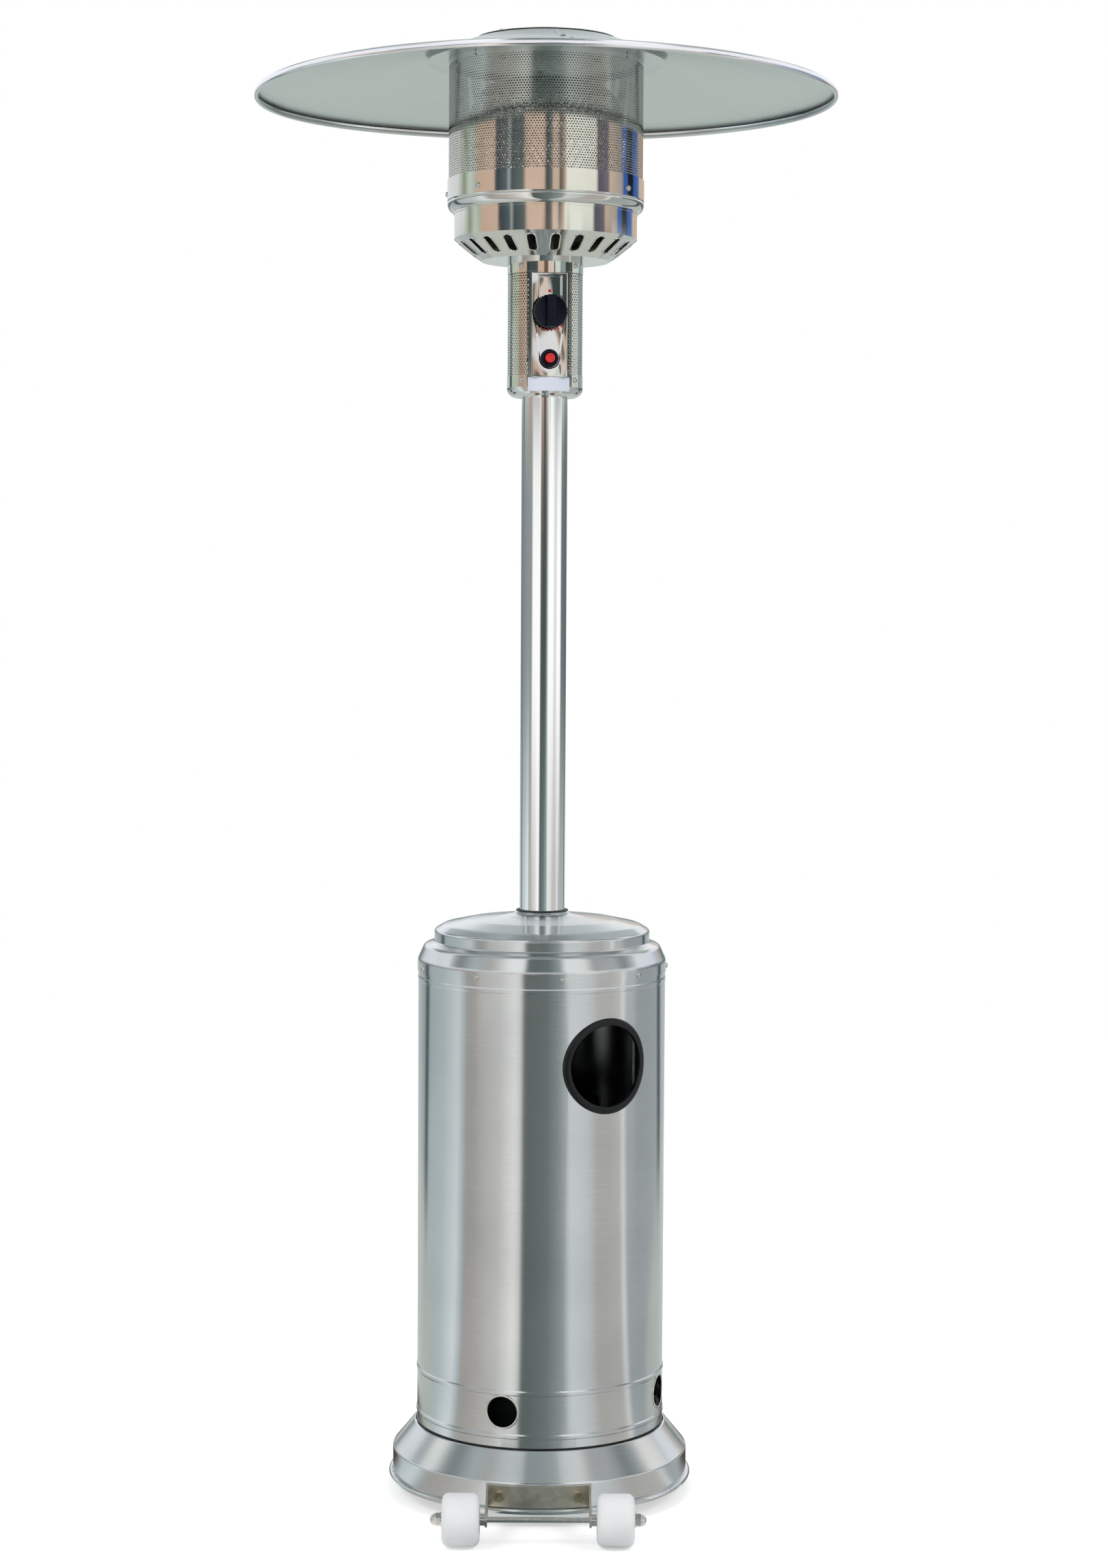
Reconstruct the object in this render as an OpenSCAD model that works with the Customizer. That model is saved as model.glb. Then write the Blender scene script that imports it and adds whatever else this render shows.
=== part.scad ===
// Gas patio heater with a tank housing, a post, a control head, a burner and a dish reflector.
// The ground is at zero height, the post stands on the vertical axis, and the wheels are at the front.
// An azimuth is counted from the front, and grows towards the right.

/* [Base] */
// Diameter of the base over its rolled edge
base_d = 460; // [440:5:480]
// Height of the top of the base above the ground
base_h = 104.6; // [98:0.2:112]
// Height of the rolled edge above the ground, which is the height of the rubber feet
foot_h = 20; // [18:0.5:24]
// Diameter of a rubber foot
foot_d = 32; // [24:1:38]
// Azimuth of the two feet at the front, which the feet at the back repeat
foot_turn = 33; // [30:1:50]
// Diameter of the rolled edge
edge_roll_d = 9; // [7:0.5:11]
// Height of the upright wall of the skirt above the middle of its rolled edge
skirt_wall_h = 40; // [37:1:48]
// Sheet thickness of the skirt
skirt_t = 1.2; // [0.8:0.1:2]
// Thickness of the base plate
plate_t = 2.5; // [1.5:0.5:4]
// Pitch circle of the ground anchor holes
anchor_pcd = 390; // [370:5:396]
// Diameter of a ground anchor hole
anchor_hole_d = 11; // [8:0.5:13]

/* [Wheels] */
// Diameter of a wheel
wheel_d = 75; // [68:1:82]
// Width of a wheel
wheel_w = 54; // [44:1:60]
// Radius of the rounded shoulders of a wheel
wheel_shoulder_r = 10; // [6:1:14]
// Clearance between the ground and a wheel while the heater stands
wheel_lift = 1.5; // [1:0.5:3]
// Distance of the axle in front of the base
axle_reach = 80; // [76:1:95]
// Diameter of the axle
axle_d = 8; // [7:0.5:12]
// Width of the wheel bracket
bracket_w = 153; // [140:1:160]
// Sheet thickness of the wheel bracket
bracket_t = 3; // [2:0.5:4]

/* [Tank housing] */
// Outer diameter of the tank housing
housing_d = 374.6; // [370:0.2:378]
// Height of the tank housing without its lid
housing_h = 700; // [690:5:760]
// Sheet thickness of the tank housing
housing_t = 0.8; // [0.6:0.1:1.2]
// Opening of the access port
port_d = 120; // [100:2:130]
// Outer diameter of the rubber trim of the access port
port_trim_d = 142; // [140:1:150]
// Depth of the middle of the access port below the upper edge of the housing
port_drop = 134.4; // [120:0.2:160]
// Azimuth of the access port
port_turn = 32; // [20:1:50]
// Diameter of a vent hole
vent_d = 46; // [30:1:50]
// Height of the vent holes above the lower edge of the housing
vent_h = 55; // [50:0.5:56]

/* [Lid] */
// Height of the lid from its lower edge to the top of its collar
lid_h = 90.1; // [84:0.1:110]
// Sheet thickness of the lid
lid_t = 0.9; // [0.6:0.1:1.2]
// Diameter of the raised crown of the lid
crown_d = 326; // [310:1:334]
// Number of screws round the lid
lid_screws_n = 9; // [6:1:12]

/* [Post] */
// Outer diameter of the post
post_d = 68.5; // [60:0.5:72]
// Wall of the post
post_t = 1.5; // [1:0.1:2]
// Height of the underside of the control head above the ground
head_z = 1655.5; // [1500:0.5:1800]

/* [Control head] */
// Outer diameter of the control head
head_d = 113.5; // [110:0.5:118]
// Height of the control head
head_h = 202.3; // [196:0.1:220]
// Height of the bottom cap
cap_h = 31.6; // [28:0.1:34]
// Height of the top collar
collar_h = 18.4; // [16:0.1:22]
// Azimuth that the control head is turned to
head_turn = 7; // [0:1:20]
// Width of the face plate
face_w = 53.5; // [51:0.5:58]
// Diameter of the knob
knob_d = 50; // [40:1:51]
// Height of the knob above the underside of the head
knob_h = 123.2; // [118:0.1:126]
// Travel of the knob when it is pressed
knob_travel = 4.5; // [3:0.5:5]
// Diameter of the igniter bezel
bezel_d = 27; // [24:1:30]
// Diameter of the igniter button
button_d = 14; // [10:0.5:15]
// Travel of the igniter button
button_travel = 5; // [3:0.5:5]
// Height of the igniter above the underside of the head
igniter_h = 55; // [52:0.5:58]

/* [Burner] */
// Diameter of the burner bowl
bowl_d = 273.6; // [260:0.2:280]
// Diameter of the flat floor of the burner bowl
bowl_floor_d = 191; // [180:1:200]
// Height of the slotted cone of the bowl
cone_h = 32.4; // [28:0.2:40]
// Height of the plain wall of the bowl
drum_h = 39.4; // [34:0.2:50]
// Number of slots round the cone
slots_n = 22; // [16:1:24]
// Length of a slot along the cone
slot_l = 34; // [26:1:36]
// Width of a slot
slot_w = 13; // [8:0.5:14]
// Height of the step between bowl and band
step_h = 13; // [10:0.5:16]
// Height of the upright band
band_h = 34.4; // [30:0.2:40]
// Diameter of the emitter screen
screen_d = 290; // [286:0.5:292]
// Height of the emitter screen
screen_h = 180.7; // [160:0.1:200]
// Diameter of the plate on top of the screen
top_plate_d = 355; // [330:1:370]

/* [Reflector] */
// Diameter of the reflector
reflector_d = 867; // [780:1:900]
// Height of the reflector from its rim to its crown
dish_h = 85; // [78:1:100]
// How far the rim hangs below the plate on top of the screen
rim_drop = 51; // [41:1:53]
// Height of the upright flange at the rim
flange_h = 11; // [8:0.5:12]
// Sheet thickness of the reflector
dish_t = 0.8; // [0.6:0.1:1.5]
// Diameter of the hub cap
hub_d = 210; // [200:2:230]

/* [Hidden] */
$fn = 96;

// Clearance between pieces of different bodies that rest against each other
rest_gap = 0.3;
// Radial clearance of a shaft that turns in its bore
running_gap = 0.05;
// Clearance between curved pieces that are fastened together
fit_gap = 0.1;
// Radial clearance of a bolt or tube in its hole
bolt_gap = 0.2;
// How far a cutter runs past the face that it cuts
overrun = 2;
// Number of steps in a rounded corner of a profile
corner_steps = 6;

// Colours
steel_c = [0.78, 0.79, 0.79];
bright_c = [0.86, 0.87, 0.86];
zinc_c = [0.60, 0.56, 0.50];
dish_c = [0.70, 0.74, 0.71];
rubber_c = [0.08, 0.08, 0.08];
nylon_c = [0.90, 0.90, 0.88];
brass_c = [0.78, 0.63, 0.30];
bottle_c = [0.45, 0.50, 0.53];
black_c = [0.06, 0.07, 0.09];
red_c = [0.80, 0.08, 0.10];
label_c = [0.80, 0.83, 0.88];

// Screws: a pan head, a hexagon head across its flats, and their shanks
pan_d = 8.4;
pan_h = 3.2;
pan_shank_d = 4;
pan_hole_d = pan_shank_d + 2 * bolt_gap;
hex_af = 10;
hex_h = 4;
hex_shank_d = 6;
hex_hole_d = hex_shank_d + 2 * bolt_gap;
nut_h = 5;
screw_reach = 5;

// Tank housing
housing_r = housing_d / 2;
housing_z = base_h + rest_gap;
housing_top = housing_z + housing_h;
swage_h = 4;
swage_out = 1.2;
swage_low_h = 18.5;
swage_high_h = 83.4;
swage_lid_drop = 22;
swage_lid_out = 0.5;
swage_lid_h = housing_h - swage_lid_drop;
vents_n = 4;
vent_first = -17;
vent_lip_w = 2.5;
vent_lip_out = 0.8;
seam_w = 14;
port_z = housing_top - port_drop;
trim_wall = 3;
trim_core_d = port_d + 2 * trim_wall;
trim_out = 3.2;
trim_in = 3;
trim_in_step = 2;

// Lid, as heights above its lower edge or drops below its top
lid_overlap = 11;
lid_z = housing_top - lid_overlap;
lid_r = housing_r + fit_gap + lid_t;
crown_r = crown_d / 2;
shoulder_low = 17;
shoulder_low_r = 14;
shoulder_mid = 39;
shoulder_mid_r = 9;
shoulder_in = 10;
groove_low = 43;
groove_out = 1.8;
groove_r = 1;
crown_edge_drop = 29;
crown_edge_r = 6;
crown_rise_drop = 20.6;
crown_rise_in = 14;
crown_rise_r = 20;
crown_bend_drop = 12.3;
crown_bend_in = 53;
crown_bend_r = 60;
flare_low_drop = 7.8;
flare_low_out = 27;
flare_low_r = 12;
flare_mid_drop = 4;
flare_mid_out = 5;
flare_mid_r = 3;
lid_screw_h = 7;
lid_screw_first = 9.7;
ring_t = 3.2;
ring_flange_h = 1.6;
ring_body_h = 8;
ring_r = post_d / 2 + rest_gap + ring_t;
lid_collar_r = ring_r + lid_t;

// Base
roll_r = base_d / 2 - edge_roll_d / 2;
roll_z = foot_h + edge_roll_d / 2;
wall_r = roll_r - edge_roll_d / 6;
wall_in_r = wall_r - skirt_t;
skirt_wall_z = roll_z + skirt_wall_h;
skirt_ledge_w = 3.7;
skirt_lip_w = 19;
skirt_top_r = housing_r + skirt_ledge_w;
skirt_lip_r = skirt_top_r - skirt_lip_w;
skirt_low_bend_r = 6;
skirt_top_bend_r = 3;
plate_z = foot_h + edge_roll_d;
plate_top = plate_z + plate_t;
plate_rim_r = wall_in_r - bolt_gap;
plate_rim_h = 16;
plate_notch_w = 24;
foot_turns = [foot_turn, 180 - foot_turn, 180 + foot_turn, 360 - foot_turn];
foot_in = 35;
foot_ring_r = base_d / 2 - foot_in;
foot_recess_d = 16;
foot_recess_h = 10;
anchors_n = 3;

// Support legs and the plate that they carry
legs_n = 3;
leg_w = 26;
leg_t = 4;
leg_in = 19;
leg_r = housing_r - leg_in;
leg_foot_l = 22;
leg_bolt_out = 11;
leg_slope_h = 37;
leg_arm_r = 75;
leg_tab_l = 30;
leg_bolt_r = leg_arm_r - leg_tab_l / 2;
support_d = 150;
support_t = 3;
support_over_lid = 18;
support_z = lid_z + support_over_lid;
support_top = support_z + support_t;
spigot_h = 55;
spigot_t = 2;
spigot_gap = 0.15;
spigot_r = post_d / 2 - post_t - spigot_gap;
post_screw_h = 28;
post_screws_n = 3;

// Post
post_grip = 34;
post_top = head_z + post_grip;

// Wheels
axle_y = -(base_d / 2 + axle_reach);
axle_z = wheel_d / 2 + wheel_lift;
bracket_in_r = wall_r + fit_gap;
bracket_r = bracket_in_r + bracket_t;
bracket_edge_gap = 1;
bracket_low_z = foot_h + edge_roll_d + bracket_edge_gap;
bracket_top_z = skirt_wall_z - skirt_low_bend_r / 2;
bracket_bolt_in = 19.5;
bracket_bolt_x = bracket_w / 2 - bracket_bolt_in;
bracket_bolt_af = 14;
bracket_bolt_h = 6;
bracket_nut_af = 10;
ear_r = 11;
ear_x = bracket_w / 2;
ear_root_y = -sqrt(pow(bracket_in_r, 2) - pow(ear_x - bracket_t, 2));
spacer_d = 17;
spacer_l = 7.2;
wheel_in_x = ear_x + spacer_l + rest_gap;
wheel_out_x = wheel_in_x + wheel_w;
washer_d = 22;
washer_t = 1.5;
dome_af = 17;
dome_hex_l = 7;
axle_end_x = wheel_out_x + rest_gap + washer_t + dome_hex_l;
wheel_recess_d = 40;
wheel_recess_h = 6;
wheel_hub_d = 24;

// Gas bottle and its fittings
bottle_d = 310;
bottle_t = 3;
bottle_lift = 22;
bottle_body_h = 470;
bottle_low_r = 70;
bottle_top_r = 90;
bottle_foot_r = 121;
shroud_r = 88;
shroud_h = 75;
shroud_gap_w = 70;
boss_r = 17;
boss_h = 8;
bottle_z = plate_top + bottle_lift;
bottle_top = bottle_z + bottle_body_h;
boss_top = bottle_top + boss_h;
valve_stem_d = 26;
valve_stem_h = 26;
valve_nut_af = 32;
valve_nut_h = 12;
regulator_d = 62;
regulator_h = 44;
regulator_z = boss_top + valve_stem_h;
regulator_top = regulator_z + regulator_h;
tap_d = 38;
tap_h = 14;
tap_bar_w = 9;
tap_neck_d = 12;
tap_neck_h = 8;
nipple_l = 24;
nipple_d = 10;

// Hose: out of the regulator towards the back, up, and over to the axis
hose_turn = 180;
hose_d = 15;
hose_bend_r = 62;
hose_z = regulator_z + regulator_h / 2;
hose_start = regulator_d / 2 + nipple_l;
hose_up_r = hose_start + hose_bend_r;
hose_s_r = hose_bend_r * 1.2;
hose_s_angle = acos(1 - hose_up_r / (2 * hose_s_r));
hose_s_h = 2 * hose_s_r * sin(hose_s_angle);
hose_s_top = support_top + hose_d;
hose_s_low = hose_s_top - hose_s_h;
clamp_l = 12;
clamp_wall = 1.2;
clamp_r = hose_d / 2 + clamp_wall;
hose_sides = 12;
hose_bend_steps = 8;

// Control head
head_r = head_d / 2;
head_t = 0.7;
head_top = head_z + head_h;
cap_top = head_z + cap_h;
collar_z = head_top - collar_h;
cap_bend_r = 14;
shell_r = head_r - head_t - running_gap;
shell_t = 0.7;
shell_overlap = 10;
socket_t = 2.5;
knob_z = head_z + knob_h;
igniter_z = head_z + igniter_h;
head_screw_turns = [45, 135, 225, 315];
cap_screw_drop = 7.3;
cap_screw_z = cap_top - cap_screw_drop;
collar_screw_z = (collar_z + head_top) / 2;
face_out = 1;
face_y = head_r + face_out;
face_t = 0.8;
face_lap = 4;
face_top_gap = 2.5;
face_low = cap_top - face_lap;
face_top = collar_z - face_top_gap;
face_edge_y = sqrt(pow(shell_r, 2) - pow(face_w / 2, 2));
emboss_in = 1.4;
emboss_knob_out = 0.9;
emboss_igniter_out = 1.6;
emboss_knob_r = knob_d / 2 + emboss_knob_out;
emboss_igniter_r = bezel_d / 2 + emboss_igniter_out;
emboss_neck_w = 34;
emboss_top_inset = 5;
knob_hole_d = 26;
window_w = 42;
window_inset = 12;
label_w = 62;
label_h = 20;
label_t = 0.4;
label_gap = 0.4;
label_low = face_low - label_h - label_gap;

// Gas valve and what hangs on it, in the turned frame of the control head
valve_w = 46;
valve_depth = 30;
valve_h = 44;
valve_low = knob_z - valve_h / 2;
valve_top = knob_z + valve_h / 2;
inlet_af = 19;
inlet_h = 18;
inlet_z = valve_low - inlet_h;
bush_d = 18;
bush_out = 48;
spindle_d = 8;
spindle_bore_d = spindle_d + 2 * running_gap;
spindle_in = 10;
plunger_d = spindle_d - 2 * running_gap;
plunger_l = 5.7;
bore_end_gap = 1.2;
spindle_bore_in = spindle_in - rest_gap - plunger_l - knob_travel - bore_end_gap;
strip_w = 34;
strip_t = 2;
strip_end_y = sqrt(pow(shell_r - shell_t - fit_gap, 2) - pow(strip_w / 2, 2));
strip_tab_h = 20;
switch_w = 24;
switch_h = 18;
switch_y = 20;
bezel_out = 4;
barrel_d = 18;
piezo_out = 50;
piezo_in = 14;
button_out = 7.5;
button_root = button_travel + rest_gap;
knob_back = face_y + knob_travel + rest_gap;
knob_skirt_h = 10;
knob_grip_h = 13;
knob_grip_w = 13.5;
knob_flutes_n = 28;
knob_flute_d = 2.4;
main_tube_d = 12;
main_tube_bore_d = 8;
pilot_tube_d = 6;
pilot_at = [19, 10];
thermocouple_d = 5;
thermocouple_at = [19, -10];
electrode_d = 6;
electrode_lead_d = 3.4;
electrode_at = [-30, -20];
electrode_collar_h = 12;
probe_h = 24;

// Burner
bowl_r = bowl_d / 2;
bowl_floor_r = bowl_floor_d / 2;
bowl_t = 1;
cone_top = head_top + cone_h;
drum_top = cone_top + drum_h;
cone_run = bowl_r - bowl_floor_r;
cone_angle = atan2(cone_h, cone_run);
slot_mid_share = 0.52;
floor_hole_r = 9;
band_t = 1;
band_gap = 2;
band_r = screen_d / 2 + band_gap;
band_low_r = bowl_r + fit_gap + band_t;
band_lap = 3;
step_top = drum_top + step_h;
band_top = step_top + band_h;
band_screw_h = 14.4;
band_screw_turns = [-97, -49, 49, 97, 145, 215];
burner_plate_t = 1.2;
burner_plate_rim_h = 17;
burner_plate_r = band_r - band_t - fit_gap;
screen_seat_h = 7;
burner_plate_top = band_top - screen_seat_h;
screen_t = 0.8;
screen_z = burner_plate_top;
screen_top = screen_z + screen_h;
mixer_r = 16;
mixer_t = 1.2;
jet_gap = 6;
jet_h = 6;
mixer_low = head_top + jet_h + jet_gap;
emitter_r = 115;
emitter_t = 0.8;
emitter_h = 155;
emitter_crown_r = 60;
top_plate_t = 1.2;
top_plate_z = screen_top;
top_plate_top = top_plate_z + top_plate_t;
top_ring_h = 7;
top_ring_t = 0.8;
top_ring_r = screen_d / 2 - screen_t - fit_gap;
top_screw_turns = [-46, 9, 56, 130, 180, 230];
top_screw_d = 4.6;
top_screw_h = 1.4;
top_screw_hole_d = top_screw_d / 2 + 2 * bolt_gap;

// Reflector, as shares of its radius and of its height
reflector_r = reflector_d / 2;
rim_z = top_plate_top - rim_drop;
crown_z = rim_z + dish_h;
rim_roll_d = 6;
flange_r = reflector_r - rim_roll_d / 6;
dish_shares = [[0.969, 0.14], [0.923, 0.17], [0.807, 0.265], [0.692, 0.39], [0.577, 0.512],
    [0.461, 0.647], [0.346, 0.8], [0.25, 0.965]];
dish_flat_share = 0.215;
dish_in_share = 0.14;
panels_n = 3;
panel_gap_angle = 0.05;
seam_turn = 7;
strip_sweep = 3;
strip_in_share = 0.25;
strip_out_share = 0.96;
stud_r = 82;
stud_d = 6;
stud_hole_d = stud_d + 2 * bolt_gap;
stud_spacer_d = 12;
stud_nut_af = 10;
stud_nut_h = 7;

// Turns a piece that is built at the front to an azimuth
module at_azimuth(turn) rotate([0, 0, turn]) children();

// A round bar that points to the front, from one distance off the axis to another
module front_bar(d, from, to) translate([0, -from, 0]) rotate([90, 0, 0]) cylinder(d = d, h = to - from);

// A hexagonal bar that points to the front
module front_hex(af, from, to)
    translate([0, -from, 0]) rotate([90, 0, 0]) cylinder(d = af / cos(30), h = to - from, $fn = 6);

// A washer or tube on the vertical axis
module tube(r, t, h) difference() {
    cylinder(r = r, h = h);
    translate([0, 0, -overrun]) cylinder(r = r - t, h = h + 2 * overrun);
}

// A pan head screw that points to the front, with its seat at one distance off the axis
module front_screw(seat, reach) {
    front_bar(pan_shank_d, seat - reach, seat + pan_h / 2);
    translate([0, -seat, 0]) rotate([90, 0, 0]) pan_head(pan_d, pan_h);
}

// A pan head with a cross recess, seat at zero height
module pan_head(d, h) difference() {
    rotate_extrude() polygon(concat([[0, 0], [d / 2, 0]], dome_points(d / 2, h)));
    for (turn = [0, 90]) rotate([0, 0, turn])
        translate([-d * 0.3, -d * 0.06, h * 0.55]) cube([d * 0.6, d * 0.12, h]);
}
function dome_points(r, h) =
    [for (i = [1:corner_steps]) [r * cos(90 * i / corner_steps), h * sin(90 * i / corner_steps)]];

// Vector helpers for profiles
function unit(v) = v / norm(v);
function left_of(v) = [-v[1], v[0]];
function wrapped(a) = a > 180 ? a - 360 : (a < -180 ? a + 360 : a);
function backwards(p) = [for (i = [len(p) - 1:-1:0]) p[i]];

// The points of an outline moved to its left by t
function moved_left(p, t) = [for (i = [0:len(p) - 1])
    let (before = unit(p[max(i, 1)] - p[max(i, 1) - 1]),
        after = unit(p[min(i, len(p) - 2) + 1] - p[min(i, len(p) - 2)]),
        a = left_of(before), b = left_of(after))
    p[i] + t * (a + b) / (1 + a * b)];

// A corner rounded with radius r, as points of its arc
function round_corner(p0, p1, p2, r) =
    let (u = unit(p0 - p1), v = unit(p2 - p1), half = acos(u * v) / 2,
        c = p1 + unit(u + v) * r / sin(half), a = p1 + u * r / tan(half) - c,
        b = p1 + v * r / tan(half) - c, start = atan2(a[1], a[0]),
        sweep = wrapped(atan2(b[1], b[0]) - start))
    [for (i = [0:corner_steps]) c + r * [cos(start + sweep * i / corner_steps),
        sin(start + sweep * i / corner_steps)]];

// An outline from corners that each hold a radius, a height and a rounding
function outline(corners) = [for (i = [0:len(corners) - 1])
    let (p = [corners[i][0], corners[i][1]])
    each (corners[i][2] == 0 ? [p] : round_corner([corners[i - 1][0], corners[i - 1][1]], p,
        [corners[i + 1][0], corners[i + 1][1]], corners[i][2]))];

// A sheet of thickness t spun about the axis, given by the outline of its outer face
module spun_sheet(points, t, sweep = 360)
    rotate_extrude(angle = sweep) polygon(concat(points, backwards(moved_left(points, t))));

// A hexagon nut or head on the vertical axis
module hex(af, h) cylinder(d = af / cos(30), h = h, $fn = 6);

// A bolt through a stack that lies between two heights, head below or above
module stack_bolt(low, high, head_up) {
    translate([0, 0, low - (head_up ? nut_h : hex_h)])
        cylinder(d = hex_shank_d, h = high - low + nut_h + hex_h);
    translate([0, 0, head_up ? high : low - hex_h]) hex(hex_af, hex_h);
    translate([0, 0, head_up ? low - nut_h : high]) hex(hex_af, nut_h);
}

module base_skirt() color(steel_c) {
    rotate_extrude() translate([roll_r, roll_z]) circle(d = edge_roll_d);
    difference() {
        spun_sheet(outline([[wall_r, roll_z, 0], [wall_r, skirt_wall_z, skirt_low_bend_r],
            [skirt_top_r, base_h, skirt_top_bend_r], [skirt_lip_r, base_h, 0]]), skirt_t);
        for (side = [-1, 1]) bracket_bolt_place(side) front_bar(hex_hole_d, leg_r, bracket_r);
    }
}

module base_plate() color(steel_c) difference() {
    union() {
        translate([0, 0, plate_z]) cylinder(r = plate_rim_r, h = plate_t);
        translate([0, 0, plate_z]) tube(plate_rim_r, plate_t, plate_rim_h);
    }
    for (i = [0:anchors_n - 1]) at_azimuth(360 / anchors_n * i) translate([0, -anchor_pcd / 2, foot_h])
        cylinder(d = anchor_hole_d, h = plate_rim_h + plate_z);
    foot_places() translate([0, 0, foot_h]) cylinder(d = hex_hole_d, h = plate_z);
    leg_places() translate([0, -(leg_r + leg_bolt_out), foot_h])
        cylinder(d = hex_hole_d, h = plate_z);
    for (side = [-1, 1]) bracket_bolt_place(side) front_bar(plate_notch_w, leg_r, wall_r);
}

module foot_places() for (turn = foot_turns) at_azimuth(turn) translate([0, -foot_ring_r, 0]) children();

module base_feet() color(rubber_c) foot_places() difference() {
    cylinder(d = foot_d, h = plate_z);
    translate([0, 0, -overrun]) cylinder(d = foot_recess_d, h = foot_recess_h + overrun);
    cylinder(d = hex_hole_d, h = plate_z + overrun);
}

// The legs stand at the back, and at the left and right of the front
module leg_places() for (i = [0:legs_n - 1]) at_azimuth(180 + 360 / legs_n * i) children();

leg_path = [[leg_r + leg_foot_l, plate_top + leg_t], [leg_r, plate_top + leg_t],
    [leg_r, support_z - leg_slope_h], [leg_arm_r, support_z], [leg_arm_r - leg_tab_l, support_z]];

module support_leg(i) color(steel_c) at_azimuth(180 + 360 / legs_n * i) difference() {
    rotate([90, 0, -90]) linear_extrude(height = leg_w, center = true)
        polygon(concat(leg_path, backwards(moved_left(leg_path, leg_t))));
    translate([0, -(leg_r + leg_bolt_out), plate_z]) cylinder(d = hex_hole_d, h = plate_top);
    translate([0, -leg_bolt_r, support_z - 2 * leg_t])
        cylinder(d = hex_hole_d, h = 4 * leg_t);
}

module support_plate() color(steel_c) difference() {
    union() {
        translate([0, 0, support_z]) cylinder(d = support_d, h = support_t);
        translate([0, 0, support_z]) cylinder(r = spigot_r, h = support_t + spigot_h);
    }
    translate([0, 0, support_z - overrun])
        cylinder(r = spigot_r - spigot_t, h = support_t + spigot_h + 2 * overrun);
    leg_places() translate([0, -leg_bolt_r, support_z - overrun])
        cylinder(d = hex_hole_d, h = support_t + 2 * overrun);
    post_screw_places() front_bar(pan_hole_d, spigot_r - 2 * spigot_t, spigot_r + overrun);
}

module post_screw_places() for (i = [0:post_screws_n - 1])
    at_azimuth(360 / post_screws_n * i) translate([0, 0, support_top + post_screw_h]) children();

module frame_screws() color(zinc_c) {
    leg_places() {
        translate([0, -(leg_r + leg_bolt_out), 0]) stack_bolt(plate_z, plate_top + leg_t, true);
        translate([0, -leg_bolt_r, 0]) stack_bolt(support_z - leg_t, support_top, false);
    }
    foot_places() stack_bolt(foot_recess_h, plate_top, false);
    post_screw_places() front_screw(post_d / 2, post_t + spigot_t + screw_reach);
}

module post() color(steel_c) difference() {
    translate([0, 0, support_top]) tube(post_d / 2, post_t, post_top - support_top);
    post_screw_places() front_bar(pan_hole_d, spigot_r, post_d / 2 + overrun);
}

module bracket_bolt_place(side) at_azimuth(side * asin(bracket_bolt_x / bracket_r))
    translate([0, 0, (bracket_low_z + bracket_top_z) / 2]) children();

// One ear of the wheel bracket, in the upright plane that runs to the front
module bracket_ear(side) translate([side * (ear_x - bracket_t / 2), 0, 0])
    rotate([90, 0, -90]) linear_extrude(height = bracket_t, center = true) difference() {
        union() {
            translate([-axle_y, axle_z]) circle(r = ear_r);
            polygon([[-ear_root_y, bracket_low_z], [-ear_root_y, bracket_top_z],
                [-axle_y + ear_r * 0.5, axle_z + ear_r * 0.866], [-axle_y, axle_z - ear_r]]);
        }
        translate([-axle_y, axle_z]) circle(d = axle_d + 2 * bolt_gap);
    }

module wheel_bracket() color(zinc_c) {
    for (side = [-1, 1]) bracket_ear(side);
    difference() {
        intersection() {
            translate([0, 0, bracket_low_z]) tube(bracket_r, bracket_t, bracket_top_z - bracket_low_z);
            translate([-ear_x, -base_d, bracket_low_z])
                cube([bracket_w, base_d, bracket_top_z - bracket_low_z]);
        }
        for (side = [-1, 1]) bracket_bolt_place(side)
            front_bar(hex_hole_d, leg_r, bracket_r + overrun);
    }
}

module bracket_bolts() color(zinc_c) for (side = [-1, 1]) bracket_bolt_place(side) {
    front_bar(hex_shank_d, wall_in_r - 2 * nut_h, bracket_r + bracket_bolt_h / 2);
    front_hex(bracket_bolt_af, bracket_r, bracket_r + bracket_bolt_h);
    front_hex(bracket_nut_af, wall_in_r - nut_h, wall_in_r - bolt_gap);
}

// Turns a piece that stands on the vertical axis to lie along the axle, from a distance off the middle
module on_axle(side, from) translate([side * from, axle_y, axle_z]) rotate([0, side * 90, 0]) children();

module wheel_axle() color(zinc_c)
    on_axle(1, -axle_end_x) cylinder(d = axle_d, h = 2 * axle_end_x);

module wheel_spacers() color(zinc_c) for (side = [-1, 1])
    on_axle(side, ear_x) tube(spacer_d / 2, spacer_d / 2 - axle_d / 2 - running_gap, spacer_l);

module axle_nuts() color(zinc_c) for (side = [-1, 1]) on_axle(side, wheel_out_x + rest_gap) difference() {
    union() {
        cylinder(d = washer_d, h = washer_t);
        translate([0, 0, washer_t]) hex(dome_af, dome_hex_l);
        translate([0, 0, washer_t + dome_hex_l]) rotate_extrude()
            polygon(concat([[0, 0], [dome_af / 2, 0]], dome_points(dome_af / 2, dome_af / 2)));
    }
    translate([0, 0, -overrun]) cylinder(d = axle_d, h = overrun + washer_t + dome_hex_l);
}

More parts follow.
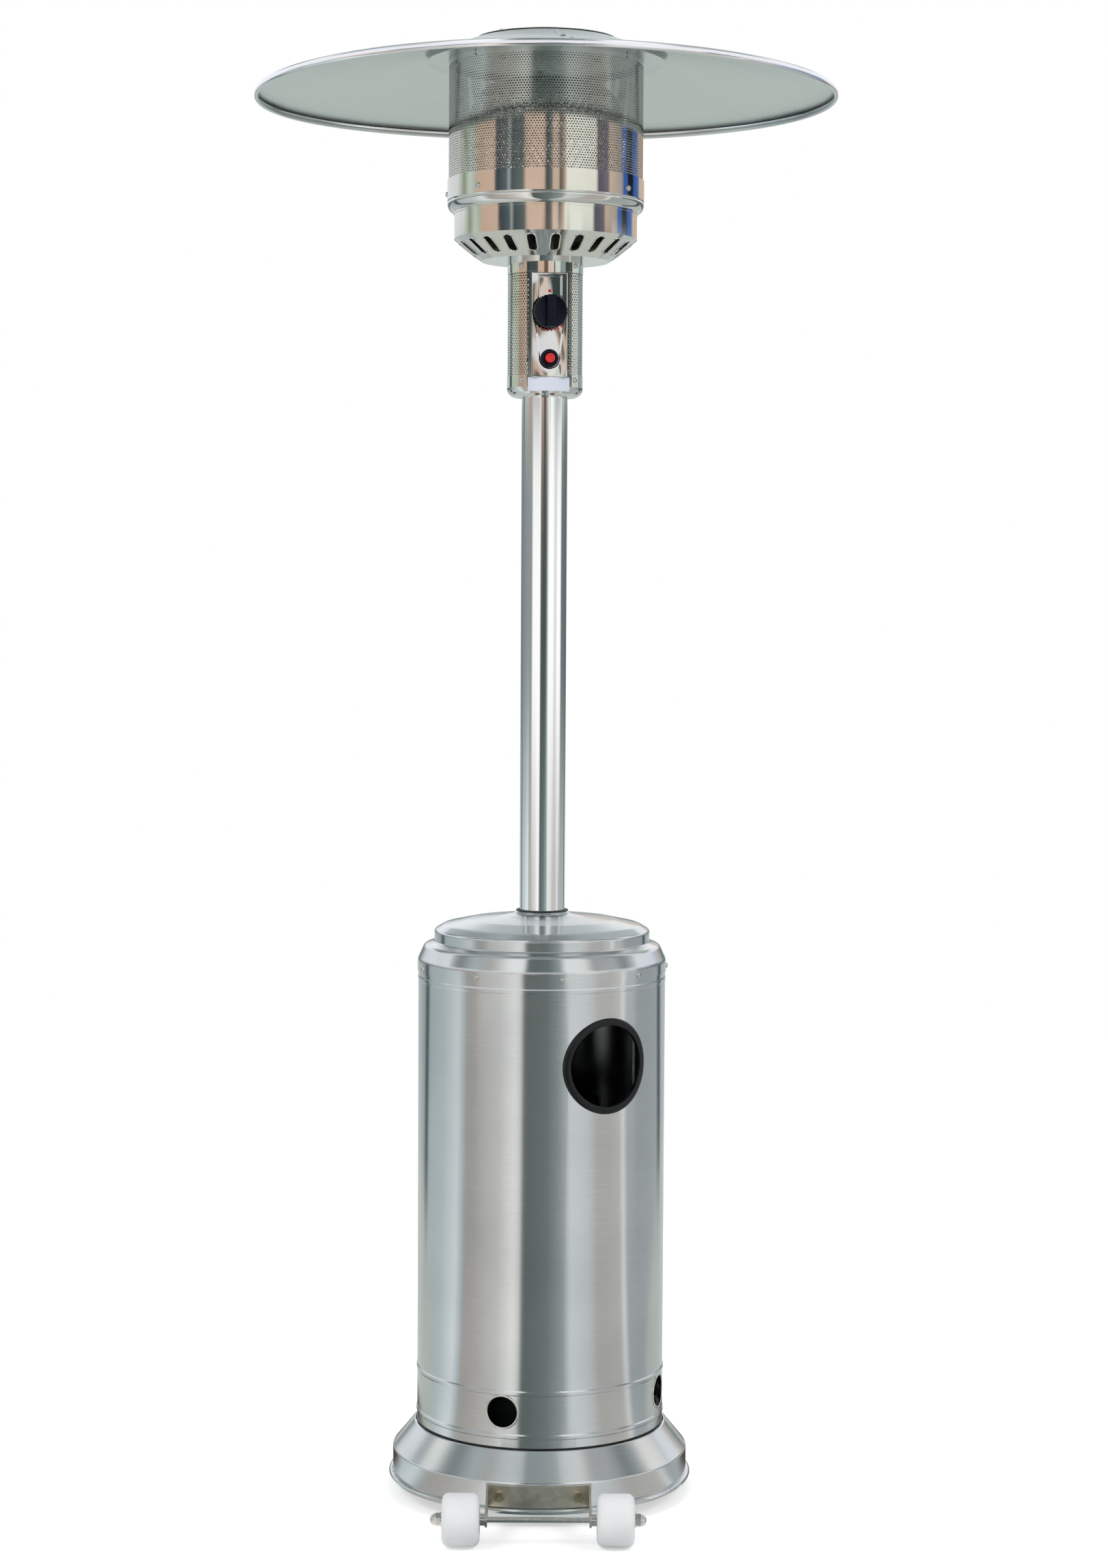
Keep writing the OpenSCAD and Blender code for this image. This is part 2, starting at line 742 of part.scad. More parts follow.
// Barrel wheel with rounded shoulders and a recess in each face
module wheel(side) color(nylon_c) on_axle(side, wheel_in_x) rotate_extrude()
    polygon(outline([[axle_d / 2 + running_gap, 0, 0], [wheel_hub_d / 2, 0, 0],
        [wheel_hub_d / 2, wheel_recess_h, 0], [wheel_recess_d / 2, wheel_recess_h, 0],
        [wheel_recess_d / 2, 0, 0], [wheel_d / 2, 0, wheel_shoulder_r],
        [wheel_d / 2, wheel_w, wheel_shoulder_r], [wheel_recess_d / 2, wheel_w, 0],
        [wheel_recess_d / 2, wheel_w - wheel_recess_h, 0], [wheel_hub_d / 2, wheel_w - wheel_recess_h, 0],
        [wheel_hub_d / 2, wheel_w, 0], [axle_d / 2 + running_gap, wheel_w, 0]]));

module gas_bottle() color(bottle_c) {
    spun_sheet(outline([[0, bottle_z, 0], [bottle_d / 2, bottle_z, bottle_low_r],
        [bottle_d / 2, bottle_top, bottle_top_r], [0, bottle_top, 0]]), bottle_t);
    translate([0, 0, bottle_top - bottle_t / 2]) cylinder(r = boss_r, h = boss_h + bottle_t / 2);
}

// How far the rounded end of the bottle has drawn back at a radius, for the rounding of that end
function end_drop(r, rounding) =
    let (past = min(max(r - bottle_d / 2 + rounding, 0), rounding))
    rounding - sqrt(pow(rounding, 2) - pow(past, 2));

// The ring that the bottle stands on
module bottle_foot() color(bottle_c) rotate_extrude() polygon([
    [bottle_foot_r - bottle_t, plate_top], [bottle_foot_r, plate_top],
    [bottle_foot_r, bottle_z + end_drop(bottle_foot_r, bottle_low_r) - fit_gap],
    [bottle_foot_r - bottle_t, bottle_z + end_drop(bottle_foot_r - bottle_t, bottle_low_r) - fit_gap]]);

// The guard round the bottle valve, with a hand gap at the front and at the back
module bottle_guard() color(bottle_c) difference() {
    rotate_extrude() polygon([
        [shroud_r - bottle_t, bottle_top - end_drop(shroud_r - bottle_t, bottle_top_r) + fit_gap],
        [shroud_r, bottle_top - end_drop(shroud_r, bottle_top_r) + fit_gap],
        [shroud_r, bottle_top + shroud_h], [shroud_r - bottle_t, bottle_top + shroud_h]]);
    for (turn = [0, 180]) at_azimuth(turn)
        translate([-shroud_gap_w / 2, -2 * shroud_r, bottle_top + boss_h])
            cube([shroud_gap_w, 2 * shroud_r, shroud_h]);
}

module bottle_valve() color(brass_c) translate([0, 0, boss_top]) {
    cylinder(d = valve_stem_d, h = valve_stem_h);
    hex(valve_nut_af, valve_nut_h);
}

module regulator() color(zinc_c) {
    translate([0, 0, regulator_z]) rotate_extrude() polygon(outline([[0, 0, 0],
        [regulator_d * 0.35, 0, 0], [regulator_d / 2, regulator_h * 0.35, regulator_h * 0.1],
        [regulator_d / 2, regulator_h * 0.7, regulator_h * 0.1], [regulator_d * 0.4, regulator_h, 0],
        [0, regulator_h, 0]]));
    translate([0, 0, regulator_top]) cylinder(d = tap_neck_d, h = tap_neck_h);
    at_azimuth(hose_turn) translate([0, 0, hose_z])
        front_bar(nipple_d, regulator_d / 2 - 2 * bolt_gap, regulator_d / 2 + nipple_l);
}

module regulator_tap() color(black_c) translate([0, 0, regulator_top + rest_gap]) difference() {
    union() {
        cylinder(d = tap_d, h = tap_h * 0.7);
        translate([-tap_bar_w / 2, -tap_d / 2, 0]) cube([tap_bar_w, tap_d * 0.7, tap_h]);
    }
    translate([0, 0, -overrun])
        cylinder(d = tap_neck_d + 2 * running_gap, h = overrun + tap_neck_h + rest_gap);
}

// Points of a bend in the plane of the hose, round a centre, from one angle to another
function bend_points(centre, r, from, to) = [for (i = [0:hose_bend_steps])
    let (a = from + (to - from) * i / hose_bend_steps) centre + r * [cos(a), sin(a)]];

// Route of the hose: distance from the axis, and height
hose_route = concat(
    bend_points([hose_start, hose_z + hose_bend_r], hose_bend_r, -90, 0),
    bend_points([hose_up_r - hose_s_r, hose_s_low], hose_s_r, 0, hose_s_angle),
    [for (p = backwards(bend_points([hose_s_r, hose_s_top], hose_s_r, 180, 180 + hose_s_angle)))
        if (p[1] > hose_s_low + hose_s_h / 2 + hose_d / 4) p],
    [[0, inlet_z]]);

// Direction of the route at one of its points
function route_way(i) = unit(hose_route[min(i + 1, len(hose_route) - 1)] - hose_route[max(i - 1, 0)]);

module gas_hose() color(rubber_c) at_azimuth(hose_turn) rotate([0, 0, -90]) {
    translate([hose_start - clamp_l, 0, hose_z]) rotate([0, 90, 0])
        tube(clamp_r, clamp_r - nipple_d / 2 - bolt_gap, clamp_l + overrun);
    rings = len(hose_route);
    polyhedron(
        points = [for (i = [0:rings - 1])
            let (way = i == 0 ? [1, 0] : (i == rings - 1 ? [0, 1] : route_way(i)))
            for (k = [0:hose_sides - 1]) let (a = 360 * k / hose_sides, out = hose_d / 2 * cos(a))
                [hose_route[i][0] + out * way[1], hose_d / 2 * sin(a), hose_route[i][1] - out * way[0]]],
        faces = concat([[for (k = [0:hose_sides - 1]) k]],
            [for (i = [0:rings - 2]) for (k = [0:hose_sides - 1]) let (n = (k + 1) % hose_sides)
                each [[i * hose_sides + k, (i + 1) * hose_sides + k, (i + 1) * hose_sides + n],
                    [i * hose_sides + k, (i + 1) * hose_sides + n, i * hose_sides + n]]],
            [[for (k = [hose_sides - 1:-1:0]) (rings - 1) * hose_sides + k]]));
}

// A cylinder across the wall of the housing, at the front
module wall_cutter(d) front_bar(d, housing_r / 2, housing_r * 1.5);

// What lies between two radii about the vertical axis, at the height of a wall feature
module wall_layer(r_in, r_out, half) difference() {
    translate([0, 0, -half]) cylinder(r = r_out, h = 2 * half);
    translate([0, 0, -half - overrun]) cylinder(r = r_in, h = 2 * (half + overrun));
}

module vent_places() for (i = [0:vents_n - 1]) at_azimuth(vent_first + 360 / vents_n * i)
    translate([0, 0, housing_z + vent_h]) children();

module port_place() at_azimuth(port_turn) translate([0, 0, port_z]) children();

// A bead rolled outwards into a sheet wall, as corners of its outer face
function swage(r, z, out) = [[r, z - swage_h, 0], [r + out, z - swage_h / 2, 0],
    [r + out, z + swage_h / 2, 0], [r, z + swage_h, 0]];

module tank_housing() color(steel_c) difference() {
    union() {
        translate([0, 0, housing_z]) spun_sheet(outline(concat([[housing_r, 0, 0]],
            swage(housing_r, swage_low_h, swage_out), swage(housing_r, swage_high_h, swage_out),
            swage(housing_r, swage_lid_h, swage_lid_out), [[housing_r, housing_h, 0]])), housing_t);
        vent_places() intersection() {
            wall_layer(housing_r - housing_t / 2, housing_r + vent_lip_out, vent_d);
            wall_cutter(vent_d + 2 * vent_lip_w);
        }
        at_azimuth(180) intersection() {
            translate([0, 0, housing_z + swage_high_h + swage_h])
                tube(housing_r + housing_t, housing_t * 1.5, swage_lid_h - swage_high_h - 2 * swage_h);
            translate([-seam_w / 2, -2 * housing_r, housing_z]) cube([seam_w, 2 * housing_r, housing_h]);
        }
    }
    vent_places() wall_cutter(vent_d);
    port_place() wall_cutter(trim_core_d);
    lid_screw_places() front_bar(pan_hole_d, housing_r * 0.9, housing_r + overrun);
}

module port_trim() color(rubber_c) port_place() difference() {
    union() {
        intersection() {
            wall_layer(housing_r + fit_gap, housing_r + trim_out, port_trim_d);
            wall_cutter(port_trim_d);
        }
        intersection() {
            wall_layer(housing_r - housing_t - trim_in, housing_r - housing_t - fit_gap, port_trim_d);
            wall_cutter(port_trim_d - 2 * trim_in_step);
        }
        intersection() {
            wall_layer(housing_r - housing_t - trim_in, housing_r + trim_out, port_trim_d);
            wall_cutter(trim_core_d - 2 * bolt_gap);
        }
    }
    wall_cutter(port_d);
}

module lid_screw_places() for (i = [0:lid_screws_n - 1])
    at_azimuth(lid_screw_first + 360 / lid_screws_n * i) translate([0, 0, lid_z + lid_screw_h]) children();

module housing_lid() color(steel_c) difference() {
    translate([0, 0, lid_z]) spun_sheet(outline([[lid_r, 0, 0], [lid_r, shoulder_low, shoulder_low_r],
        [lid_r - shoulder_in, shoulder_mid, shoulder_mid_r], [crown_r + groove_out, groove_low, groove_r],
        [crown_r, groove_low + groove_out, groove_r], [crown_r, lid_h - crown_edge_drop, crown_edge_r],
        [crown_r - crown_rise_in, lid_h - crown_rise_drop, crown_rise_r],
        [crown_r - crown_bend_in, lid_h - crown_bend_drop, crown_bend_r],
        [lid_collar_r + flare_low_out, lid_h - flare_low_drop, flare_low_r],
        [lid_collar_r + flare_mid_out, lid_h - flare_mid_drop, flare_mid_r],
        [lid_collar_r, lid_h, 0]]), lid_t);
    lid_screw_places() front_bar(pan_hole_d, housing_r, lid_r + overrun);
}

module lid_screws() color(zinc_c) lid_screw_places()
    front_screw(lid_r, lid_r - housing_r + housing_t + screw_reach);

module post_ring() color(rubber_c) translate([0, 0, lid_z + lid_h]) rotate_extrude()
    polygon([[ring_r - ring_t, -ring_body_h], [ring_r - fit_gap, -ring_body_h], [ring_r - fit_gap, 0],
        [lid_collar_r + lid_t, 0], [lid_collar_r, ring_flange_h], [ring_r - ring_t, ring_flange_h]]);

module turned() at_azimuth(head_turn) children();

module head_screw_places() for (turn = head_screw_turns) turned() at_azimuth(turn) children();

module control_base() color(bright_c) difference() {
    union() {
        spun_sheet(backwards(outline([[head_r - head_t, cap_top, 0],
            [head_r - head_t, head_z + head_t, cap_bend_r - head_t],
            [post_d / 2 + fit_gap, head_z + head_t, 0]])), -head_t);
        translate([0, 0, head_z]) tube(post_d / 2 + fit_gap + socket_t, socket_t, cap_h * 0.9);
    }
    head_screw_places() translate([0, 0, cap_screw_z])
        front_bar(pan_hole_d, post_d / 2, head_r + overrun);
}

module control_shell() color(bright_c) difference() {
    translate([0, 0, cap_top - shell_overlap])
        tube(shell_r, shell_t, collar_z - cap_top + 2 * shell_overlap);
    turned() translate([-window_w / 2, -head_d, cap_top + window_inset])
        cube([window_w, head_d, collar_z - cap_top - 2 * window_inset]);
    head_screw_places() {
        translate([0, 0, cap_screw_z]) front_bar(pan_hole_d, post_d / 2, head_r);
        translate([0, 0, collar_screw_z]) front_bar(pan_hole_d, post_d / 2, head_r);
    }
}

module control_collar() color(bright_c) difference() {
    spun_sheet([[head_r, collar_z], [head_r, head_top], [floor_hole_r, head_top]], head_t);
    head_screw_places() translate([0, 0, collar_screw_z])
        front_bar(pan_hole_d, post_d / 2, head_r + overrun);
    tube_holes();
}

module control_screws() color(zinc_c) head_screw_places() {
    translate([0, 0, cap_screw_z]) front_screw(head_r, head_t + shell_t + screw_reach);
    translate([0, 0, collar_screw_z]) front_screw(head_r, head_t + shell_t + screw_reach);
}

// The pressed area round knob and igniter, as a flat outline in width and height
module emboss_outline(more = 0) {
    translate([0, knob_z]) circle(r = emboss_knob_r + more);
    translate([0, igniter_z]) circle(r = emboss_igniter_r + more);
    polygon([[-emboss_knob_r - more, knob_z], [-emboss_igniter_r - more, igniter_z],
        [emboss_igniter_r + more, igniter_z], [emboss_knob_r + more, knob_z]]);
    translate([-emboss_neck_w / 2 - more, knob_z])
        square([emboss_neck_w + 2 * more, face_top - emboss_top_inset + more - knob_z]);
}

// Lays a flat outline on a plane that faces the front, from one distance off the axis to another
module front_plate(from, to) translate([0, -from, 0]) rotate([90, 0, 0])
    linear_extrude(height = to - from) children();

module face_plate() color(bright_c) turned() difference() {
    union() {
        difference() {
            front_plate(face_edge_y, face_y)
                translate([-face_w / 2, face_low]) square([face_w, face_top - face_low]);
            front_plate(face_edge_y - overrun, face_y - face_t)
                translate([-face_w / 2 + face_t, face_low + face_t])
                square([face_w - 2 * face_t, face_top - face_low - 2 * face_t]);
            front_plate(face_y - emboss_in, face_y + overrun) emboss_outline();
        }
        front_plate(face_y - emboss_in - face_t, face_y - emboss_in) intersection() {
            emboss_outline(face_t);
            translate([-face_w / 2 + fit_gap, face_low])
                square([face_w - 2 * fit_gap, face_top - face_low]);
        }
    }
    translate([0, 0, head_z]) cylinder(r = shell_r + fit_gap, h = head_h);
    translate([0, 0, head_z]) cylinder(r = head_r + fit_gap, h = cap_h + fit_gap);
    translate([0, 0, knob_z]) front_bar(knob_hole_d, face_edge_y, face_y + overrun);
    translate([0, 0, igniter_z]) front_bar(barrel_d + 2 * bolt_gap, face_edge_y, face_y + overrun);
}

module label_plate() color(label_c) turned() intersection() {
    translate([0, 0, label_low]) tube(head_r + fit_gap / 2 + label_t, label_t, label_h);
    translate([-label_w / 2, -head_d, label_low]) cube([label_w, head_d, label_h]);
}

module gas_valve() color(brass_c) turned() difference() {
    union() {
        translate([-valve_w / 2, -valve_depth / 2, valve_low]) cube([valve_w, valve_depth, valve_h]);
        translate([0, 0, knob_z]) front_bar(bush_d, 0, bush_out);
        translate([0, 0, inlet_z]) hex(inlet_af, inlet_h + overrun);
    }
    translate([0, 0, knob_z]) front_bar(spindle_bore_d, spindle_bore_in, bush_out + overrun);
}

module valve_bracket() color(zinc_c) turned() difference() {
    union() {
        translate([-strip_w / 2, -valve_depth / 2, valve_top])
            cube([strip_w, strip_end_y + valve_depth / 2, strip_t]);
        translate([-strip_w / 2, strip_end_y - strip_t, valve_top]) cube([strip_w, strip_t, strip_tab_h]);
    }
    translate([0, 0, valve_top - overrun])
        cylinder(d = main_tube_d + 2 * bolt_gap, h = strip_t + 2 * overrun);
    for (at = [pilot_at, thermocouple_at]) translate([at[0], at[1], valve_top - overrun])
        cylinder(d = pilot_tube_d + 2 * bolt_gap, h = strip_t + 2 * overrun);
}

module valve_plunger() color(brass_c) turned() translate([0, 0, knob_z])
    front_bar(plunger_d, spindle_in - rest_gap - plunger_l, spindle_in - rest_gap);

module knob_spindle() color(brass_c) turned() translate([0, 0, knob_z])
    front_bar(spindle_d, spindle_in, knob_back + knob_skirt_h);

module control_knob() color(black_c) turned() translate([0, -knob_back, knob_z]) rotate([90, 0, 0])
    difference() {
        union() {
            cylinder(d = knob_d, h = knob_skirt_h);
            translate([0, 0, knob_skirt_h]) intersection() {
                cylinder(d = knob_d * 0.94, h = knob_grip_h);
                translate([-knob_grip_w / 2, -knob_d / 2, 0]) cube([knob_grip_w, knob_d, knob_grip_h]);
            }
        }
        for (i = [0:knob_flutes_n - 1]) rotate([0, 0, 360 / knob_flutes_n * (i + 0.5)])
            translate([knob_d / 2 + knob_flute_d * 0.2, 0, -overrun])
                cylinder(d = knob_flute_d, h = knob_skirt_h + 2 * overrun, $fn = 16);
        translate([0, 0, -overrun]) cylinder(d = spindle_d, h = overrun + knob_skirt_h);
    }

module igniter_bezel() color(black_c) turned() translate([0, 0, igniter_z]) difference() {
    union() {
        front_bar(barrel_d, piezo_out, face_y);
        front_bar(bezel_d, face_y - emboss_in, face_y + bezel_out);
    }
    front_bar(button_d + 2 * rest_gap, piezo_out - overrun, face_y + bezel_out + overrun);
}

module igniter_button() color(red_c) turned() translate([0, 0, igniter_z])
    front_bar(button_d, piezo_out + button_root, face_y + bezel_out + button_out);

module piezo_igniter() color(black_c) turned() translate([0, 0, igniter_z]) {
    front_bar(barrel_d, piezo_in, piezo_out);
    translate([electrode_at[0], electrode_at[1], 0]) rotate([0, 90, 0])
        cylinder(d = electrode_d, h = -electrode_at[0] - barrel_d / 2 + overrun);
}

module tilt_switch() color(black_c) turned()
    translate([-switch_w / 2, switch_y, valve_top + strip_t]) cube([switch_w, switch_w, switch_h]);

// Holes for the gas tubes and the lead, through the roof of the head and the floor of the burner
module tube_holes() turned() {
    for (at = [pilot_at, thermocouple_at, electrode_at]) translate([at[0], at[1], collar_z])
        cylinder(d = pilot_tube_d + 2 * bolt_gap, h = band_top - collar_z);
}

module main_gas_tube() color(brass_c) translate([0, 0, valve_top])
    tube(main_tube_d / 2, (main_tube_d - main_tube_bore_d) / 2, mixer_low - jet_gap - valve_top);

module pilot_tube() color(steel_c) turned() translate([pilot_at[0], pilot_at[1], valve_top])
    tube(pilot_tube_d / 2, pilot_tube_d / 6, burner_plate_top + probe_h - valve_top);

module thermocouple() color(brass_c) turned()
    translate([thermocouple_at[0], thermocouple_at[1], valve_top]) {
    cylinder(d = thermocouple_d, h = burner_plate_top + probe_h - valve_top);
    translate([0, 0, burner_plate_top + probe_h - valve_top]) sphere(d = thermocouple_d);
}

module spark_electrode() color(label_c) turned() translate([electrode_at[0], electrode_at[1], 0]) {
    translate([0, 0, igniter_z + electrode_d / 2])
        cylinder(d = electrode_lead_d, h = burner_plate_top + probe_h - igniter_z);
    translate([0, 0, burner_plate_top + fit_gap]) cylinder(d = electrode_d * 1.4, h = electrode_collar_h);
}

module burner_bowl() color(bright_c) difference() {
    spun_sheet([[floor_hole_r, head_top], [bowl_floor_r, head_top], [bowl_r, cone_top],
        [bowl_r, drum_top]], bowl_t);
    for (i = [0:slots_n - 1]) at_azimuth(head_turn + 360 / slots_n * i)
        translate([0, -(bowl_floor_r + cone_run * slot_mid_share), head_top + cone_h * slot_mid_share])
            rotate([-cone_angle, 0, 0]) slot_cutter();
    tube_holes();
}

// A slot with round ends, which lies along the cone and is cut square through it
module slot_cutter() {
    for (end = [-1, 1]) translate([0, end * (slot_l - slot_w) / 2, -slot_w])
        cylinder(d = slot_w, h = 2 * slot_w);
    translate([-slot_w / 2, -(slot_l - slot_w) / 2, -slot_w]) cube([slot_w, slot_l - slot_w, 2 * slot_w]);
}

module burner_band() color(bright_c) difference() {
    spun_sheet([[band_low_r, drum_top - band_lap], [band_low_r, drum_top], [band_r, step_top],
        [band_r, band_top]], band_t);
    band_screw_places() front_bar(pan_hole_d, burner_plate_r - screw_reach, band_r + overrun);
}

module band_screw_places() for (turn = band_screw_turns)
    at_azimuth(head_turn + turn) translate([0, 0, step_top + band_screw_h]) children();

module burner_plate() color(steel_c) difference() {
    union() {
        spun_sheet([[burner_plate_r, burner_plate_top - burner_plate_rim_h],
            [burner_plate_r, burner_plate_top], [mixer_r - mixer_t, burner_plate_top]], burner_plate_t);
        translate([0, 0, mixer_low]) tube(mixer_r, mixer_t, burner_plate_top - mixer_low);
    }
    band_screw_places() front_bar(pan_hole_d, burner_plate_r - screw_reach, band_r + overrun);
    tube_holes();
}

module top_screw_places() for (turn = top_screw_turns)
    at_azimuth(turn) translate([0, 0, screen_top - top_ring_h / 2]) children();

module burner_screws() color(zinc_c) {
    band_screw_places() front_screw(band_r, band_t + burner_plate_t + screw_reach);
    top_screw_places() {
        front_bar(top_screw_d / 2, top_ring_r - top_ring_t - screw_reach, screen_d / 2 + top_screw_h / 2);
        translate([0, -screen_d / 2, 0]) rotate([90, 0, 0]) pan_head(top_screw_d, top_screw_h);
    }
}

module inner_emitter() color(steel_c) translate([0, 0, burner_plate_top])
    spun_sheet(outline([[emitter_r, 0, 0], [emitter_r, emitter_h, emitter_crown_r], [0, emitter_h, 0]]),
        emitter_t);

module emitter_screen() color(bright_c) difference() {
    translate([0, 0, screen_z]) tube(screen_d / 2, screen_t, screen_h);
    top_screw_places() front_bar(top_screw_hole_d, screen_d / 4, screen_d);
}

module top_plate() color(dish_c) difference() {
    union() {
        translate([0, 0, top_plate_z]) cylinder(d = top_plate_d, h = top_plate_t);
        translate([0, 0, top_plate_z - top_ring_h])
            tube(top_ring_r, top_ring_t, top_ring_h + top_plate_t / 2);
    }
    top_screw_places() front_bar(top_screw_hole_d, screen_d / 4, screen_d);
    stud_places() translate([0, 0, top_plate_z - overrun])
        cylinder(d = stud_hole_d, h = top_plate_t + 2 * overrun);
}

dish_points = concat([[flange_r, rim_roll_d / 2], [flange_r, flange_h]],
    [for (share = dish_shares) [share[0] * reflector_r, share[1] * dish_h]],
    [for (share = [dish_flat_share, dish_in_share]) [share * reflector_r, dish_h - dish_t]]);

// One third of the dish, with its upright flange and its rolled rim
module reflector_panel(i) color(dish_c) translate([0, 0, rim_z]) difference() {
    rotate([0, 0, seam_turn - 90 + 360 / panels_n * i + panel_gap_angle]) {
        spun_sheet(dish_points, dish_t, 360 / panels_n - 2 * panel_gap_angle);
        rotate_extrude(angle = 360 / panels_n - 2 * panel_gap_angle)
            translate([reflector_r - rim_roll_d / 2, rim_roll_d / 2]) circle(d = rim_roll_d, $fn = 24);
    }
    stud_places() cylinder(d = stud_hole_d, h = dish_h + overrun);
}

// Points of the dish between two shares of its radius
function dish_height(share, i = 0) =
    share >= dish_shares[i + 1][0] || i + 2 == len(dish_shares)
        ? dish_h * (dish_shares[i][1] + (dish_shares[i + 1][1] - dish_shares[i][1])
            * (share - dish_shares[i][0]) / (dish_shares[i + 1][0] - dish_shares[i][0]))
        : dish_height(share, i + 1);
strip_points = concat([[strip_out_share * reflector_r, dish_height(strip_out_share)]],
    [for (share = dish_shares) if (share[0] < strip_out_share && share[0] > strip_in_share)
        [share[0] * reflector_r, share[1] * dish_h]],
    [[strip_in_share * reflector_r, dish_height(strip_in_share)]]);

module seam_places() for (i = [0:panels_n - 1]) at_azimuth(seam_turn + 360 / panels_n * i) children();

module seam_strips() color(dish_c) translate([0, 0, rim_z]) seam_places() {
    rotate([0, 0, -90 - strip_sweep / 2])
        spun_sheet(moved_left(strip_points, -dish_t), dish_t, strip_sweep);
    for (share = [dish_shares[5][0], dish_shares[3][0]])
        translate([0, -share * reflector_r, dish_height(share) + dish_t])
            cylinder(d = pan_d, h = pan_h * 0.8);
}

module hub_cap() color(dish_c) translate([0, 0, crown_z - dish_t]) difference() {
    cylinder(d = hub_d, h = dish_t);
    stud_places() translate([0, 0, -overrun]) cylinder(d = stud_hole_d, h = dish_t + 2 * overrun);
}

module stud_places() for (i = [0:panels_n - 1])
    at_azimuth(seam_turn + 360 / panels_n * (i + 0.5)) translate([0, -stud_r, 0]) children();

module reflector_studs() color(zinc_c) stud_places() {
    translate([0, 0, top_plate_z - hex_h]) hex(hex_af, hex_h);
    translate([0, 0, top_plate_z - hex_h]) cylinder(d = stud_d, h = crown_z - top_plate_z + hex_h);
    translate([0, 0, top_plate_top]) cylinder(d = stud_spacer_d, h = crown_z - 2 * dish_t - top_plate_top);
    translate([0, 0, crown_z]) {
        hex(stud_nut_af, stud_nut_h * 0.6);
        translate([0, 0, stud_nut_h * 0.6]) rotate_extrude()
            polygon(concat([[0, 0], [stud_nut_af / 2, 0]], dome_points(stud_nut_af / 2, stud_nut_h * 0.4)));
    }
}

base_skirt();
base_plate();
base_feet();
support_leg(0);  // support_leg_1
support_leg(1);  // support_leg_2
support_leg(2);  // support_leg_3
support_plate();
frame_screws();
post();
wheel_bracket();
bracket_bolts();
wheel_axle();
wheel_spacers();
axle_nuts();
wheel(-1);  // wheel_left
wheel(1);  // wheel_right
gas_bottle();
bottle_foot();
bottle_guard();
bottle_valve();
regulator();
regulator_tap();
gas_hose();
tank_housing();
housing_lid();
lid_screws();
port_trim();
post_ring();
control_base();
control_shell();
control_collar();
control_screws();
face_plate();
label_plate();
gas_valve();
valve_bracket();
valve_plunger();
knob_spindle();
control_knob();
igniter_bezel();
igniter_button();
piezo_igniter();
tilt_switch();
main_gas_tube();
pilot_tube();
thermocouple();
spark_electrode();
burner_bowl();
burner_band();
burner_plate();
burner_screws();
inner_emitter();
emitter_screen();
top_plate();
reflector_panel(0);  // reflector_panel_1
reflector_panel(1);  // reflector_panel_2
reflector_panel(2);  // reflector_panel_3
seam_strips();
hub_cap();
reflector_studs();
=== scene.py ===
# %% [markdown]
# # A gas patio heater
#
# The object is a free-standing heater: a dish reflector over a perforated emitter, a burner bowl, a control
# head on a post, and a tank housing on a wheeled base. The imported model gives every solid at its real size.
# This lesson gives the solids their finishes, makes the fine work that repeats, and sets the studio.

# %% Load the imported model
import math

import bpy
import bmesh
from mathutils import Matrix, Vector


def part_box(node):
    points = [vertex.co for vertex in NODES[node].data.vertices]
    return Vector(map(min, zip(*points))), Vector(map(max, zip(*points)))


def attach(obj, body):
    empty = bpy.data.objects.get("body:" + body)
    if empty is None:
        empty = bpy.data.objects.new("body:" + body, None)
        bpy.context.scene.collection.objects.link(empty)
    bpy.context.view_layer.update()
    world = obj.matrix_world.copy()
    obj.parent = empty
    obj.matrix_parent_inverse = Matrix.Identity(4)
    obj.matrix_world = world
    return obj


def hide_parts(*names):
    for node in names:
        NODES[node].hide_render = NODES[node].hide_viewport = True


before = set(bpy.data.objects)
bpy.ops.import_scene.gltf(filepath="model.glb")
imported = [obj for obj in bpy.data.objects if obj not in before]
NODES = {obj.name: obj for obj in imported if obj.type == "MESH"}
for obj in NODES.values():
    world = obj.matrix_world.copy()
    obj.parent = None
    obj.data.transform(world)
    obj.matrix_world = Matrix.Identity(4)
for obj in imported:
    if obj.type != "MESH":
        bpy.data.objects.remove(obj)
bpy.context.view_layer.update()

# %% [markdown]
# ## Helpers
#
# A colour is written as the hex code that a paint chart would show, and Blender's sockets want linear light,
# so one function converts it. One more function adds a node of any kind with its settings and links, for
# materials, for the world and for Geometry Nodes alike. Short helpers keep the later cells about the object
# itself.

# %% Helpers for units, colours and nodes
MM = 0.001
MATH = "ShaderNodeMath"  # one step of arithmetic, in a material or in Geometry Nodes


def srgb(code):
    """Turns a hex colour code into linear red, green, blue and a full alpha."""
    channels = [int(code[i:i + 2], 16) / 255 for i in (1, 3, 5)]
    linear = [c / 12.92 if c <= 0.04045 else ((c + 0.055) / 1.055) ** 2.4 for c in channels]
    return (*linear, 1.0)


def put(tree, kind, inputs=(), stops=(), **settings):
    """Adds one node and sets its own settings.

    Inputs are set or linked by name, by number or in their order. A node among them stands for its first
    output. Stops are for a colour ramp: pairs of a place from 0 to 1 and a hex colour.
    """
    node = tree.nodes.new(kind)
    for name, value in settings.items():
        setattr(node, name, value)
    for key, value in inputs.items() if isinstance(inputs, dict) else enumerate(inputs):
        if isinstance(value, bpy.types.Node):
            value = value.outputs[0]
        if isinstance(value, bpy.types.NodeSocket):
            tree.links.new(value, node.inputs[key])
        else:
            node.inputs[key].default_value = value
    if stops:
        elements = node.color_ramp.elements
        while len(elements) < len(stops):
            elements.new(0.5)
        for element, (place, colour) in zip(elements, stops):
            element.position = place
            element.color = srgb(colour)
    return node


